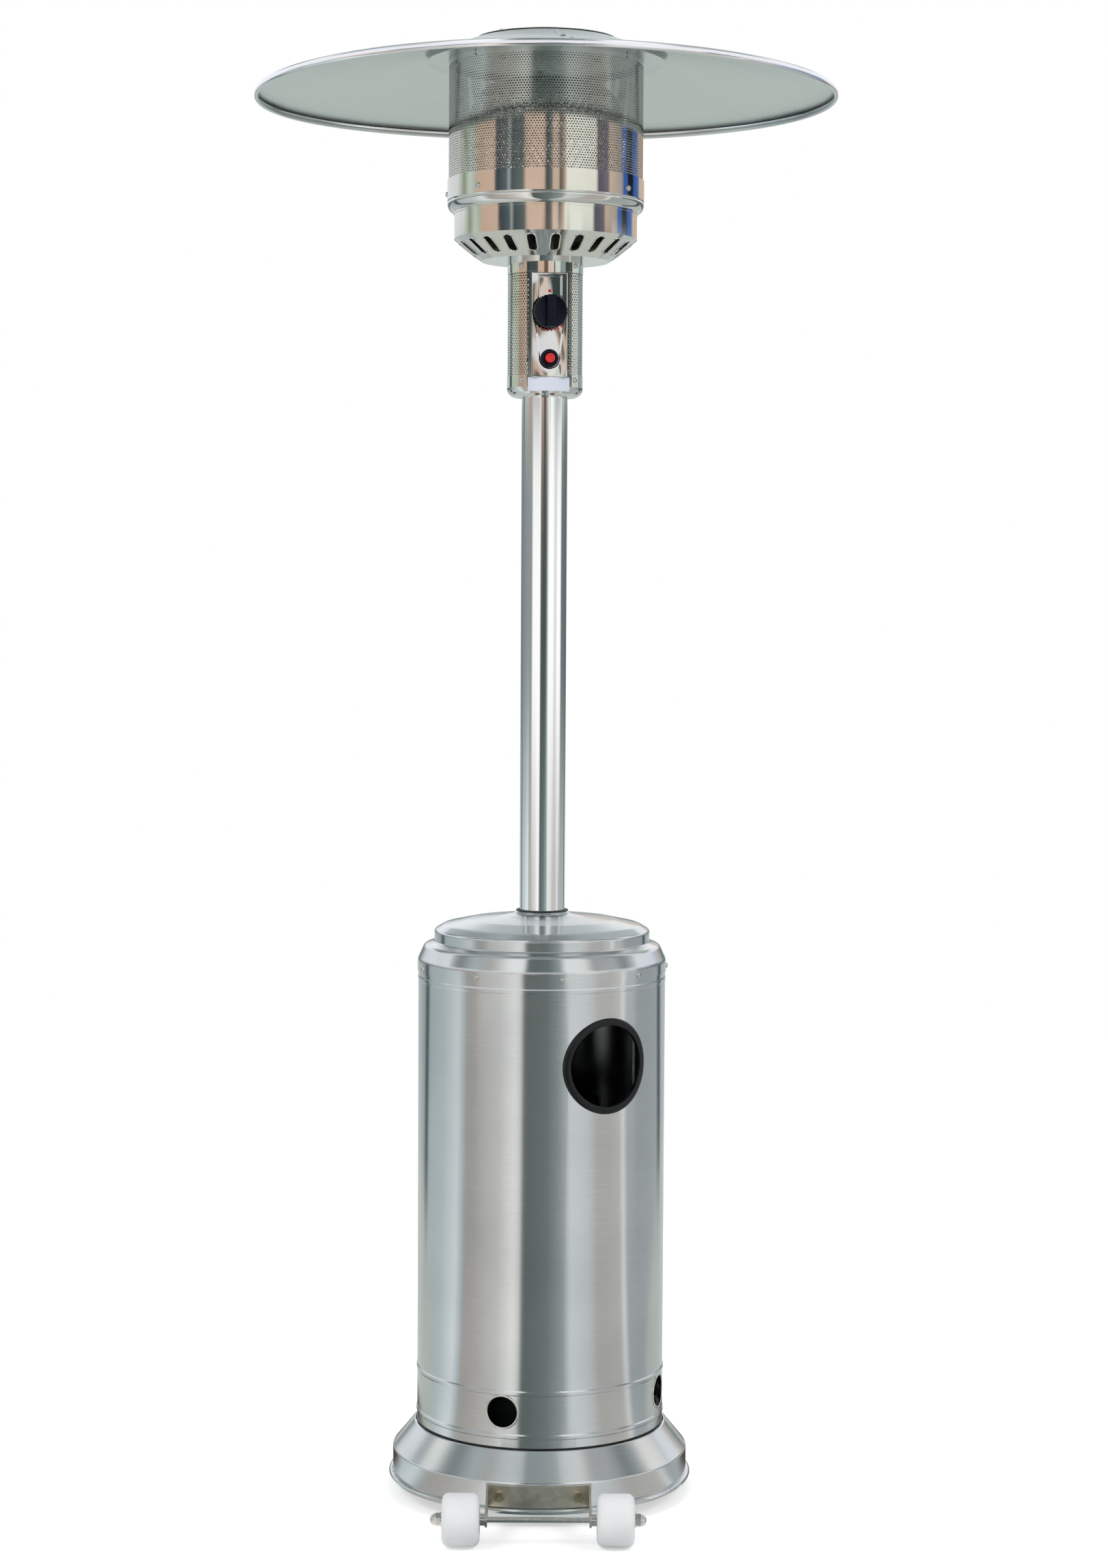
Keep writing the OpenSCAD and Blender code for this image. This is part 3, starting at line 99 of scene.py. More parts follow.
def radius_of(node):
    """Half the width of a node's box, which is its radius where it is round."""
    low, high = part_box(node)
    return (high.x - low.x) / 2


def half_height(node):
    """Half the height of a node's box."""
    low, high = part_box(node)
    return (high.z - low.z) / 2


def mid_height(node):
    """Height of the middle of a node's box."""
    low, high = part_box(node)
    return (low.z + high.z) / 2


def mesh_of(work, name):
    """The mesh of a finished bmesh, which is freed."""
    mesh = bpy.data.meshes.new(name)
    work.to_mesh(mesh)
    work.free()
    return mesh


for name in ("reflector_panel_1", "emitter_screen", "burner_bowl", "control_shell", "tank_housing"):
    low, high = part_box(name)
    print(name, "from", round(low.z / MM, 1), "to", round(high.z / MM, 1), "mm")

# %% [markdown]
# ## Camera
#
# The heater was photographed from about chest height and from some four and a half metres away, with the
# camera tipped down a little. A long lens from that distance keeps the post and the housing straight. The
# sensor's long side is upright here, so the lens is worked out for that side.

# %% Camera
CAMERA_AT = Vector((0.017, -4.579, 1.3635))
TIP_DOWN = 3.6
ROLL = 0.305
SENSOR_LONG = 36.0
FOCAL_PIXELS = 4442
PHOTO_TALL = 2296
CLIP_END = 60

camera_data = bpy.data.cameras.new("camera")
camera_data.sensor_width = SENSOR_LONG
camera_data.lens = FOCAL_PIXELS * SENSOR_LONG / PHOTO_TALL
camera_data.clip_end = CLIP_END
camera = bpy.data.objects.new("camera", camera_data)
bpy.context.scene.collection.objects.link(camera)
tip = Matrix.Rotation(math.radians(90 - TIP_DOWN), 4, "X")
roll = Matrix.Rotation(math.radians(ROLL), 4, "Z")
camera.matrix_world = Matrix.Translation(CAMERA_AT) @ tip @ roll
bpy.context.scene.camera = camera
print("lens", round(camera_data.lens, 2), "mm")

# %% [markdown]
# ## Studio
#
# Polished steel has hardly any colour of its own: it shows the room. A photographer stands tall boards round
# such an object, so that upright bands of warm, dark and white run down its curved walls. The world carries
# those boards as ramps round the horizon, which only mirrored rays see. A mirrored ray from an upright wall
# keeps the slope at which the eye looks at that wall, so each height of the heater can have boards of its
# own: neutral ones for the housing, black and white ones for the post, paler ones for the control head and
# warm ones for the burner. Above them comes a strip of white sky, then the boards that the domes and the
# base show, and a plain grey ceiling. Behind the object the pale floor runs on, and the underside of the
# dish shows it. The camera itself sees white.
#
# A board is a pair of the angle at which it stands, in degrees from the camera towards the right, and its
# colour. A slope is the height of a mirrored ray's direction, where one set of boards gives way to the next.

# %% Bands of the studio
LOW_BANDS = [(-180, "#AEB6B8"), (-150, "#B6BDBF"), (-138, "#9FA8AC"), (-134, "#464D50"), (-130, "#464D50"),
             (-126, "#B4BEC1"), (-100, "#C4D0D3"), (-82, "#E9EEEF"), (-74, "#B4BFC3"), (-72, "#AFAAA5"),
             (-55, "#B9B5B1"), (-38, "#CFCCC8"), (-24, "#F6F5F2"), (-18, "#DDDBD8"), (-16, "#566261"),
             (6, "#74807F"), (20, "#98A2A2"), (26, "#DADEDE"), (42, "#CACECE"), (52, "#B5B2AE"),
             (76, "#BDBAB5"), (81, "#EFEFEE"), (85, "#AAAFB1"), (134, "#AEB3B5"), (138, "#50565A"),
             (143, "#50565A"), (147, "#B9C0C1"), (180, "#AEB6B8")]
POST_BANDS = [(-180, "#7D8688"), (-150, "#6F787B"), (-120, "#7C8487"), (-64, "#858D8F"), (-56, "#FFFFFF"),
              (-20, "#FFFFFF"), (-14, "#3A4644"), (14, "#3E4B49"), (26, "#FFFFFF"), (50, "#FFFFFF"),
              (56, "#DEDBDB"), (66, "#DEDBDB"), (72, "#FFFFFF"), (92, "#FFFFFF"), (101, "#626B6D"),
              (150, "#5C6567"), (180, "#7D8688")]
HEAD_BANDS = [(-180, "#C5CACF"), (-137, "#CDD2D7"), (-135, "#5A6E5F"), (-121, "#5A6E5F"), (-119, "#C3CDBE"),
              (-89, "#C3CDBE"), (-87, "#C4A48E"), (-59, "#CBAE9A"), (-57, "#3C4646"), (-23, "#465050"),
              (-21, "#D7B9A5"), (-5, "#DCC0AE"), (-3, "#785A4E"), (8, "#70584E"), (10, "#EBD7CD"),
              (26, "#EFDED5"), (27, "#1A1A1C"), (30, "#1A1A1C"), (31, "#D7E1DC"), (46, "#DCE5E0"),
              (47, "#829696"), (64, "#8A9C9C"), (66, "#374141"), (90, "#3F4A4A"), (92, "#DCE1DC"),
              (120, "#DCE1DC"), (124, "#8FA39E"), (180, "#C5CACF")]
BURNER_BANDS = [(-125, "#E0E3E6"), (-110, "#8C9D87"), (-100, "#CED4CC"), (-90, "#B5BDB0"),
                (-87, "#CFB4A1"), (-63, "#D5BAA7"), (-60, "#37414A"), (-46, "#5C686F"), (-43, "#AEB4B4"),
                (-40, "#49555B"), (-26, "#66706F"), (-23, "#D7BCA9"), (-2, "#DBC1B0"), (1, "#4A4E4E"),
                (7, "#6F726F"), (9, "#D7BCAB"), (15, "#D2BCAD"), (17, "#4E4C48"), (22, "#B39A88"),
                (25, "#F4F4EA"), (61, "#F0F1E8"), (64, "#5D5A66"), (78, "#77707E"),
                (81, "#D2BAAA"), (100, "#A9A39B"), (104, "#3A62AD"), (110, "#3A62AD"), (113, "#14181F"),
                (122, "#14181F"), (126, "#3A62AD"), (137, "#4A6FB0"), (143, "#CDB9A8")]
SKY_BANDS = [(-180, "#F8FAFA"), (-154, "#F0F1F8"), (154, "#F0F1F8"), (180, "#F8FAFA")]
ABOVE_BANDS = [(-180, "#B4BBBD"), (-156, "#BCC4C6"), (-145, "#7F888A"), (-130, "#747D80"), (-126, "#A0A8AA"),
               (-118, "#C9CDCD"), (-116, "#F4F5F2"), (-104, "#F4F5F2"), (-101, "#A0A8A9"), (-96, "#848C8E"),
               (-92, "#566063"), (-76, "#B4BFC3"), (-55, "#B9B5B1"), (-38, "#F2F1EF"), (-34, "#FFFFFF"),
               (-19, "#FFFFFF"), (-15, "#566261"), (8, "#667271"), (20, "#98A2A2"), (26, "#FFFFFF"),
               (48, "#F6F5F2"), (56, "#A9A9A8"), (80, "#B4B6B6"), (92, "#5A6467"),
               (106, "#A9B1B2"), (109, "#F6F4F0"), (127, "#F0EBE6"), (130, "#969D9E"), (142, "#969D9E"),
               (147, "#BCC4C6")]
TOP_BANDS = [(-180, "#B4BCBE"), (-60, "#A2ABAE"), (40, "#BAC1C2"), (140, "#A9B1B4")]
FAR_FLOOR = "#C2CBC7"
FAR_FLOOR_TURN = (158, 168)
POST_SLOPE = (-0.095, -0.030)
HEAD_SLOPE = (0.060, 0.064)
BURNER_SLOPE = (0.1125, 0.1145)
SKY_SLOPE = (0.172, 0.180)
ABOVE_SLOPE = (0.37, 0.42)
TOP_SLOPE = (0.80, 0.90)
FLOOR_SLOPE = (-0.10, -0.02)


def band_stops(bands):
    """Turns pairs of degrees and colour into stops, from the left of the camera's back to the right."""
    return [(degrees / 360 + 0.5, colour) for degrees, colour in bands]


def studio_group():
    """A group that gives the colour of the boards in a direction from the object."""
    group = bpy.data.node_groups.new("studio boards", "ShaderNodeTree")
    group.interface.new_socket("Direction", in_out="INPUT", socket_type="NodeSocketVector")
    group.interface.new_socket("Color", in_out="OUTPUT", socket_type="NodeSocketColor")
    parts = put(group, "ShaderNodeSeparateXYZ", (put(group, "NodeGroupInput"),)).outputs
    front = put(group, MATH, (0.0, parts["Y"]), operation="SUBTRACT")
    angle = put(group, MATH, (parts["X"], front), operation="ARCTAN2")
    share = put(group, MATH, (angle, 1 / (2 * math.pi), 0.5), operation="MULTIPLY_ADD")
    colour = put(group, "ShaderNodeValToRGB", {"Fac": share}, band_stops(LOW_BANDS))
    for slope, bands in ((POST_SLOPE, POST_BANDS), (HEAD_SLOPE, HEAD_BANDS), (BURNER_SLOPE, BURNER_BANDS),
                         (SKY_SLOPE, SKY_BANDS), (ABOVE_SLOPE, ABOVE_BANDS), (TOP_SLOPE, TOP_BANDS)):
        past = put(group, "ShaderNodeMapRange", {"Value": parts["Z"], "From Min": slope[0],
                                                 "From Max": slope[1]}, clamp=True)
        above = put(group, "ShaderNodeValToRGB", {"Fac": share}, band_stops(bands))
        colour = put(group, "ShaderNodeMix", {0: past, 6: colour, 7: above}, data_type="RGBA").outputs[2]
    turned_off = put(group, MATH, (angle,), operation="ABSOLUTE")
    behind = put(group, "ShaderNodeMapRange", {
        "Value": turned_off, "From Min": math.radians(FAR_FLOOR_TURN[0]),
        "From Max": math.radians(FAR_FLOOR_TURN[1])}, clamp=True)
    down = put(group, "ShaderNodeMapRange", {"Value": parts["Z"], "From Min": FLOOR_SLOPE[1],
                                             "From Max": FLOOR_SLOPE[0]}, clamp=True)
    both = put(group, MATH, (behind, down), operation="MULTIPLY")
    colour = put(group, "ShaderNodeMix", {0: both, 6: colour, 7: srgb(FAR_FLOOR)},
                 data_type="RGBA").outputs[2]
    put(group, "NodeGroupOutput", {"Color": colour})
    return group


BOARDS = studio_group()

# %% World
WORLD_LEVEL = 0.62
BOARD_LEVEL = 1.12

world = bpy.data.worlds.new("studio")
bpy.context.scene.world = world
world.use_nodes = True
tree = world.node_tree
tree.nodes.clear()
direction = put(tree, "ShaderNodeTexCoord")
boards = put(tree, "ShaderNodeGroup", {"Direction": direction.outputs["Generated"]}, node_tree=BOARDS)
rays = put(tree, "ShaderNodeLightPath")
plain = put(tree, "ShaderNodeBackground", {"Color": srgb("#FFFFFF"), "Strength": WORLD_LEVEL})
mirrored = put(tree, "ShaderNodeBackground", {"Color": boards, "Strength": BOARD_LEVEL})
white = put(tree, "ShaderNodeBackground", {"Color": srgb("#FFFFFF"), "Strength": 1.0})
lit = put(tree, "ShaderNodeMixShader", (rays.outputs["Is Glossy Ray"], plain, mirrored))
seen = put(tree, "ShaderNodeMixShader", (rays.outputs["Is Camera Ray"], lit, white))
put(tree, "ShaderNodeOutputWorld", {"Surface": seen})
bpy.context.scene.view_settings.view_transform = "Standard"
print("world ready")

# %% [markdown]
# ## Floor and lamps
#
# The floor is pale, and the camera sees it as white with the soft shadow under the base. Close behind the
# base, mirrored rays see a dark patch of painted shade that stands for the heater's own shade, and the cone
# of the bowl mirrors it as its dark middle. Large square lamps stand high to the left, to the right and
# behind.
# They light rubber, plastic and the floor, while mirrored rays pass them by, so that the steel shows the
# boards alone and no dome burns out.

# %% Floor
FLOOR_R = 5.0
CORNERS = 96
FLOOR_GLOW = 0.42
BOARD_EYE = 0.5
NEAR_FLOOR_R = 1.7
NEAR_FADE = 0.1
NEAR_FLOOR = "#C3C8C2"
# The dark patch behind the base is painted shade, which only mirrored rays see.
SHADE_BACK = 0.30
SHADE_R = (0.38, 0.46)
SHADE = "#4E443C"

floor_mesh = bpy.data.meshes.new("floor")
rim = [(FLOOR_R * math.sin(math.tau * i / CORNERS), FLOOR_R * math.cos(math.tau * i / CORNERS), 0)
       for i in range(CORNERS)]
floor_mesh.from_pydata(rim, [], [tuple(range(CORNERS))[::-1]])
floor = bpy.data.objects.new("floor", floor_mesh)
bpy.context.scene.collection.objects.link(floor)


def floor_paint():
    """White floor for the camera, with the object's shadow, and the boards for what is mirrored."""
    material = bpy.data.materials.new("studio floor")
    material.use_nodes = True
    tree = material.node_tree
    tree.nodes.clear()
    rays = put(tree, "ShaderNodeLightPath")
    place = put(tree, "ShaderNodeNewGeometry").outputs["Position"]
    paint = put(tree, "ShaderNodeBsdfDiffuse", {"Color": srgb("#E9EBEA")})
    glow = put(tree, "ShaderNodeEmission", {"Color": srgb("#FFFFFF"), "Strength": FLOOR_GLOW})
    bright = put(tree, "ShaderNodeAddShader", (paint, glow))
    sight = put(tree, "ShaderNodeVectorMath", (place, (0, 0, -BOARD_EYE)), operation="ADD")
    boards = put(tree, "ShaderNodeGroup", {"Direction": sight}, node_tree=BOARDS)
    behind = put(tree, "ShaderNodeVectorMath", (place, (0, -NEAR_FLOOR_R, 0)), operation="ADD")
    away = put(tree, "ShaderNodeVectorMath", (behind,), operation="LENGTH")
    far = put(tree, "ShaderNodeMapRange", {
        "Value": away.outputs["Value"], "From Min": NEAR_FLOOR_R - NEAR_FADE, "From Max": NEAR_FLOOR_R},
        clamp=True)
    shade = put(tree, "ShaderNodeVectorMath", (place, (0, SHADE_BACK, 0)), operation="DISTANCE")
    edge = put(tree, "ShaderNodeMapRange", {
        "Value": shade.outputs["Value"], "From Min": SHADE_R[0], "From Max": SHADE_R[1]}, clamp=True)
    near = put(tree, "ShaderNodeMix", {0: edge, 6: srgb(SHADE), 7: srgb(NEAR_FLOOR)}, data_type="RGBA")
    shown = put(tree, "ShaderNodeMix", {0: far, 6: near.outputs[2], 7: boards}, data_type="RGBA")
    mirrored = put(tree, "ShaderNodeEmission", {"Color": shown.outputs[2], "Strength": BOARD_LEVEL})
    lit = put(tree, "ShaderNodeMixShader", (rays.outputs["Is Camera Ray"], paint, bright))
    out = put(tree, "ShaderNodeMixShader", (rays.outputs["Is Glossy Ray"], lit, mirrored))
    put(tree, "ShaderNodeOutputMaterial", {"Surface": out})
    return material


floor_mesh.materials.append(floor_paint())
print("floor radius", FLOOR_R, "m")


# %% Lamps
def softbox(name, at, aim, size, power):
    """A square lamp that faces a point and that mirrored rays pass by."""
    data = bpy.data.lights.new(name, "AREA")
    data.shape = "SQUARE"
    data.size = size
    data.energy = power
    lamp = bpy.data.objects.new(name, data)
    bpy.context.scene.collection.objects.link(lamp)
    lamp.visible_glossy = False
    lamp.location = at
    lamp.rotation_euler = (Vector(aim) - Vector(at)).to_track_quat("-Z", "Y").to_euler()


softbox("lamp_left", (-3.2, -3.0, 4.2), (0, 0, 1.0), 2.2, 95)
softbox("lamp_right", (3.4, -2.4, 3.8), (0, 0, 0.9), 2.2, 70)
softbox("lamp_back", (0.5, 2.8, 5.6), (0, 0, 1.2), 2.6, 50)

# %% [markdown]
# ## Stainless steel, brushed
#
# The housing, the lid, the base and the post are 430 stainless sheet with a fine satin grain that runs round
# the heater. Grain that runs round blurs reflections upwards and downwards only, so the boards keep crisp
# sides. The shader gets that from anisotropy along a tangent that points up the wall, and the grain itself
# is noise that is drawn out around the axis: it changes quickly with height and with the distance from the
# axis, and slowly along the way round. Real grain is some 0.05 mm wide, and here it is drawn at 0.6 mm so
# that it shows.

# %% Brushed stainless steel
GRAIN = 0.6 * MM
GRAIN_SHARE = 0.6
GRAIN_DEPTH = 0.02 * MM
CLOUDS_PER_METRE = 7.0
TURNS_PER_CIRCLE = (3.0, 3.0, 3.0)


def new_material(name):
    """An empty node material, with its tree."""
    material = bpy.data.materials.new(name)
    material.use_nodes = True
    material.node_tree.nodes.clear()
    return material, material.node_tree


def turned_place(tree, grain):
    """Coordinates that change once per grain width with height and radius, and slowly the way round."""
    place = put(tree, "ShaderNodeTexCoord").outputs["Object"]
    parts = put(tree, "ShaderNodeSeparateXYZ", (place,)).outputs
    flat = put(tree, "ShaderNodeCombineXYZ", {"X": parts["X"], "Y": parts["Y"]})
    radius = put(tree, "ShaderNodeVectorMath", (flat,), operation="LENGTH").outputs["Value"]
    way = put(tree, "ShaderNodeVectorMath", (flat,), operation="NORMALIZE")
    across = put(tree, "ShaderNodeCombineXYZ", {"X": radius, "Y": parts["Z"]})
    fine = put(tree, "ShaderNodeVectorMath", {0: across, "Scale": 1 / grain}, operation="SCALE")
    return put(tree, "ShaderNodeVectorMath", (way, TURNS_PER_CIRCLE, fine), operation="MULTIPLY_ADD")


def upward_tangent(tree):
    """The direction up a wall of revolution, at right angles to its normal and to the way round."""
    normal = put(tree, "ShaderNodeNewGeometry").outputs["Normal"]
    around = put(tree, "ShaderNodeVectorMath", ((0, 0, 1), normal), operation="CROSS_PRODUCT")
    return put(tree, "ShaderNodeVectorMath", (normal, around), operation="CROSS_PRODUCT")


def brushed_steel(name, dark, light, roughness, spread):
    """Satin sheet whose grain runs round the heater."""
    material, tree = new_material(name)
    place = put(tree, "ShaderNodeTexCoord").outputs["Object"]
    grain = put(tree, "ShaderNodeTexNoise", {"Vector": turned_place(tree, GRAIN), "Scale": 1.0,
                                             "Detail": 3.0})
    cloud = put(tree, "ShaderNodeTexNoise", {"Vector": place, "Scale": CLOUDS_PER_METRE, "Detail": 4.0})
    both = put(tree, MATH, (grain, GRAIN_SHARE, cloud), operation="MULTIPLY_ADD")
    tone = put(tree, "ShaderNodeValToRGB", {"Fac": both}, [(0.35, dark), (1.0, light)])
    rough = put(tree, "ShaderNodeMapRange", {"Value": grain, "From Min": 0.25, "From Max": 0.75,
                                             "To Min": roughness - spread, "To Max": roughness + spread})
    bump = put(tree, "ShaderNodeBump", {"Height": grain, "Strength": 0.05, "Distance": GRAIN_DEPTH})
    shader = put(tree, "ShaderNodeBsdfPrincipled", {
        "Base Color": tone, "Metallic": 1.0, "Roughness": rough, "Anisotropic": 0.9, "Normal": bump,
        "Tangent": upward_tangent(tree)})
    put(tree, "ShaderNodeOutputMaterial", {"Surface": shader})
    return material


brushed = brushed_steel("brushed stainless sheet", "#C4C8C9", "#D8DBDB", 0.18, 0.02)
tube_steel = brushed_steel("polished stainless tube", "#EEF0F0", "#F8F9F9", 0.08, 0.01)

# %% [markdown]
# ## Stainless steel, polished
#
# The burner, the band and the control head are the same steel with a mirror polish. It has no grain, only
# faint haze and long soft waves from rolling, which make the edges of the boards wander. It is a little
# yellower than the brushed sheet. The face plate went through a press, so its waves are far deeper and
# break the boards into patches.

# %% Polished stainless steel
WAVE = 55 * MM
WAVE_STRETCH = (1.0, 1.0, 0.35)
HAZE = 40 * MM
HAZE_ROUGHNESS = 0.03


def polished_steel(name, dark, light, roughness, wave, strength=0.35):
    """Mirror polished sheet with faint haze and rolling waves of some depth."""
    material, tree = new_material(name)
    place = put(tree, "ShaderNodeTexCoord").outputs["Object"]
    stretched = put(tree, "ShaderNodeMapping", {"Vector": place, "Scale": WAVE_STRETCH})
    waves = put(tree, "ShaderNodeTexNoise", {"Vector": stretched, "Scale": 1 / WAVE, "Detail": 1.0})
    haze = put(tree, "ShaderNodeTexNoise", {"Vector": place, "Scale": 1 / HAZE, "Detail": 2.0})
    tone = put(tree, "ShaderNodeValToRGB", {"Fac": haze}, [(0.3, dark), (0.7, light)])
    rough = put(tree, "ShaderNodeMapRange", {"Value": haze, "From Min": 0.3, "From Max": 0.75,
                                             "To Min": roughness, "To Max": roughness + HAZE_ROUGHNESS})
    bump = put(tree, "ShaderNodeBump", {"Height": waves, "Strength": strength, "Distance": wave})
    shader = put(tree, "ShaderNodeBsdfPrincipled", {
        "Base Color": tone, "Metallic": 1.0, "Roughness": rough, "Normal": bump})
    put(tree, "ShaderNodeOutputMaterial", {"Surface": shader})
    return material


polished = polished_steel("polished stainless sheet", "#D8D8D3", "#E2E2DE", 0.05, 0.4 * MM)
pressed_steel = polished_steel("pressed stainless plate", "#D2D2CE", "#E0E0DC", 0.06, 14 * MM, 1.0)

# %% [markdown]
# ## Aluminium, zinc plate and brass
#
# The dish is soft aluminium sheet as it left the mill, with a satin bloom. Its rolled edge is smoother, and
# its lighter tone is a painted highlight along the rim.
# Zinc plate on the wheel bracket has a brownish bloom, the bolts are passivated yellow, and the zinc on the
# screws is bright. The legs and plates inside are galvanised and the gas fittings are machined brass. One
# function serves them all: the bloom has the size of the metal's own blotches, and changes tone and gloss.

# %% Satin metals
BLOOM_DEPTH = 0.05 * MM


def satin_metal(name, dark, light, roughness, size, strength=0.15):
    """Metal with a mottled bloom of one size."""
    material, tree = new_material(name)
    place = put(tree, "ShaderNodeTexCoord").outputs["Object"]
    bloom = put(tree, "ShaderNodeTexNoise", {"Vector": place, "Scale": 1 / size, "Detail": 5.0,
                                             "Roughness": 0.6})
    fine = put(tree, "ShaderNodeTexNoise", {"Vector": place, "Scale": 12 / size, "Detail": 2.0})
    tone = put(tree, "ShaderNodeValToRGB", {"Fac": bloom}, [(0.3, dark), (0.7, light)])
    rough = put(tree, "ShaderNodeMapRange", {"Value": bloom, "From Min": 0.3, "From Max": 0.7,
                                             "To Min": roughness - 0.05, "To Max": roughness + 0.06})
    bump = put(tree, "ShaderNodeBump", {"Height": fine, "Strength": strength, "Distance": BLOOM_DEPTH})
    shader = put(tree, "ShaderNodeBsdfPrincipled", {
        "Base Color": tone, "Metallic": 1.0, "Roughness": rough, "Normal": bump})
    put(tree, "ShaderNodeOutputMaterial", {"Surface": shader})
    return material


dish_aluminium = satin_metal("satin aluminium sheet", "#D0D5D3", "#DCE0DE", 0.28, 180 * MM, 0.0)
# The edge is smoother than the dish, and its lighter tone is a painted highlight along the rim.
rim_aluminium_painted_light = satin_metal("polished aluminium edge, painted lighter", "#ECEDEE", "#F4F5F6", 0.14, 90 * MM, 0.05)
zinc = satin_metal("zinc plated steel", "#C4BDAF", "#DFD9CC", 0.40, 14 * MM)
yellow_zinc = satin_metal("yellow zinc bolts", "#B3A78C", "#D6CCB4", 0.24, 7 * MM)
bright_zinc = satin_metal("bright zinc screws", "#CFCDC7", "#E4E2DD", 0.20, 6 * MM, 0.05)
galvanised = satin_metal("galvanised sheet", "#A9ADAF", "#C4C7C8", 0.36, 12 * MM)
brass = satin_metal("machined brass", "#BC9A55", "#D5B56F", 0.24, 9 * MM, 0.05)
electrode_white = satin_metal("glazed insulator", "#DAD7CE", "#E9E6DF", 0.2, 9 * MM)

# %% [markdown]
# ## Rubber and plastics
#
# The rubber trim and feet are matt black. The wheels are moulded white nylon, a little waxy, because light
# enters it a short way. Knob and bezel are black phenolic whose gloss is tinted faintly blue, a painted
# reflection of blue sky, and the button is red ABS. The bottle has a coat of enamel that hardly shines,
# painted near black as painted shade inside the housing. All have the fine orange peel of a mould or a
# spray gun.

# %% Rubber and plastics
PEEL_DEPTH = 0.04 * MM
LIGHT_DEPTH = 2 * MM


def moulded(name, dark, light, roughness, size, coat=0.0, subsurface=0.0, shine=0.5, painted_gloss_tint="#FFFFFF"):
    """Moulded material with a slight change of tone and an orange-peel skin."""
    material, tree = new_material(name)
    place = put(tree, "ShaderNodeTexCoord").outputs["Object"]
    patches = put(tree, "ShaderNodeTexNoise", {"Vector": place, "Scale": 1 / size, "Detail": 4.0})
    skin = put(tree, "ShaderNodeTexNoise", {"Vector": place, "Scale": 30 / size, "Detail": 2.0})
    tone = put(tree, "ShaderNodeValToRGB", {"Fac": patches}, [(0.3, dark), (0.7, light)])
    rough = put(tree, "ShaderNodeMapRange", {"Value": skin, "From Min": 0.3, "From Max": 0.7,
                                             "To Min": roughness - 0.05, "To Max": roughness + 0.05})
    bump = put(tree, "ShaderNodeBump", {"Height": skin, "Strength": 0.12, "Distance": PEEL_DEPTH})
    # A gloss tint other than white paints a coloured reflection into the gloss.
    shader = put(tree, "ShaderNodeBsdfPrincipled", {
        "Base Color": tone, "Roughness": rough, "IOR": 1.5, "Specular IOR Level": shine,
        "Specular Tint": srgb(painted_gloss_tint), "Coat Weight": coat, "Subsurface Weight": subsurface,
        "Subsurface Scale": LIGHT_DEPTH, "Normal": bump})
    put(tree, "ShaderNodeOutputMaterial", {"Surface": shader})
    return material


rubber = moulded("black moulded rubber", "#17191A", "#24282A", 0.50, 20 * MM)
trim_rubber = moulded("black trim rubber", "#07090A", "#0E1113", 0.34, 20 * MM, shine=0.35)
nylon = moulded("white moulded nylon", "#E4E6E8", "#EBECEE", 0.38, 30 * MM, subsurface=0.12)
# Its blue gloss tint is a painted reflection of blue sky.
black_plastic = moulded("black phenolic", "#05070B", "#090C13", 0.28, 25 * MM, shine=0.45, painted_gloss_tint="#B0BCE0")
red_plastic = moulded("red ABS", "#C21B22", "#D8262B", 0.25, 8 * MM, coat=0.2)
# The bottle's near-black enamel is painted shade: it keeps the inside of the housing dark through the vent
# holes and the port.
enamel = moulded("bottle enamel painted dark as shade", "#080B0C", "#0E1213", 0.65, 60 * MM, shine=0.15)
film = moulded("pale label film", "#C9D0E0", "#D8DDEA", 0.30, 40 * MM)

# %% [markdown]
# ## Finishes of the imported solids
#
# Most solids keep their own shape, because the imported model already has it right, and only get a finish.
# Each finish has its list of solids. Those that a finer piece replaces later are in the lists as well, so
# that no solid is ever left bare.

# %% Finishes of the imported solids
FINISHES = [
    (brushed, "base_skirt tank_housing housing_lid"),
    (tube_steel, "post"),
    (polished, "control_base control_shell control_collar burner_bowl burner_band emitter_screen"),
    (pressed_steel, "face_plate"),
    (galvanised, "inner_emitter base_plate support_leg_1 support_leg_2 support_leg_3 support_plate "
                 "burner_plate pilot_tube regulator valve_bracket"),
    (dish_aluminium, "top_plate reflector_panel_1 reflector_panel_2 reflector_panel_3 seam_strips hub_cap"),
    (zinc, "wheel_bracket"),
    (bright_zinc, "wheel_axle wheel_spacers axle_nuts frame_screws burner_screws control_screws "
                  "lid_screws reflector_studs"),
    (yellow_zinc, "bracket_bolts"),
    (rubber, "base_feet gas_hose post_ring"),
    (trim_rubber, "port_trim"),
    (nylon, "wheel_left wheel_right"),
    (enamel, "gas_bottle bottle_foot bottle_guard"),
    (brass, "bottle_valve gas_valve valve_plunger knob_spindle main_gas_tube thermocouple"),
    (black_plastic, "regulator_tap control_knob igniter_bezel piezo_igniter tilt_switch"),
    (red_plastic, "igniter_button"),
    (film, "label_plate"),
    (electrode_white, "spark_electrode"),
]

finished = 0
for finish, names in FINISHES:
    for name in names.split():
        NODES[name].material_slots[0].material = finish
        finished += 1
print("solids with a finish:", finished, "of", len(NODES))

# %% [markdown]
# ## Perforated sheet
#
# The emitter screen, the dome inside it and the shell of the control head are sheet with thousands of
# staggered holes. Cutting them one by one would take minutes. A staggered pattern is a honeycomb, so one
# six-sided cell with its hole is made once, set on a grid of points, welded, rolled round the axis, and then
# given the thickness of the sheet. Geometry Nodes do this in a fraction of a second, and the same tree
# serves all three pieces through its named inputs. The screen is so large that it is made in three bands,
# one above the other, which keeps each piece light.

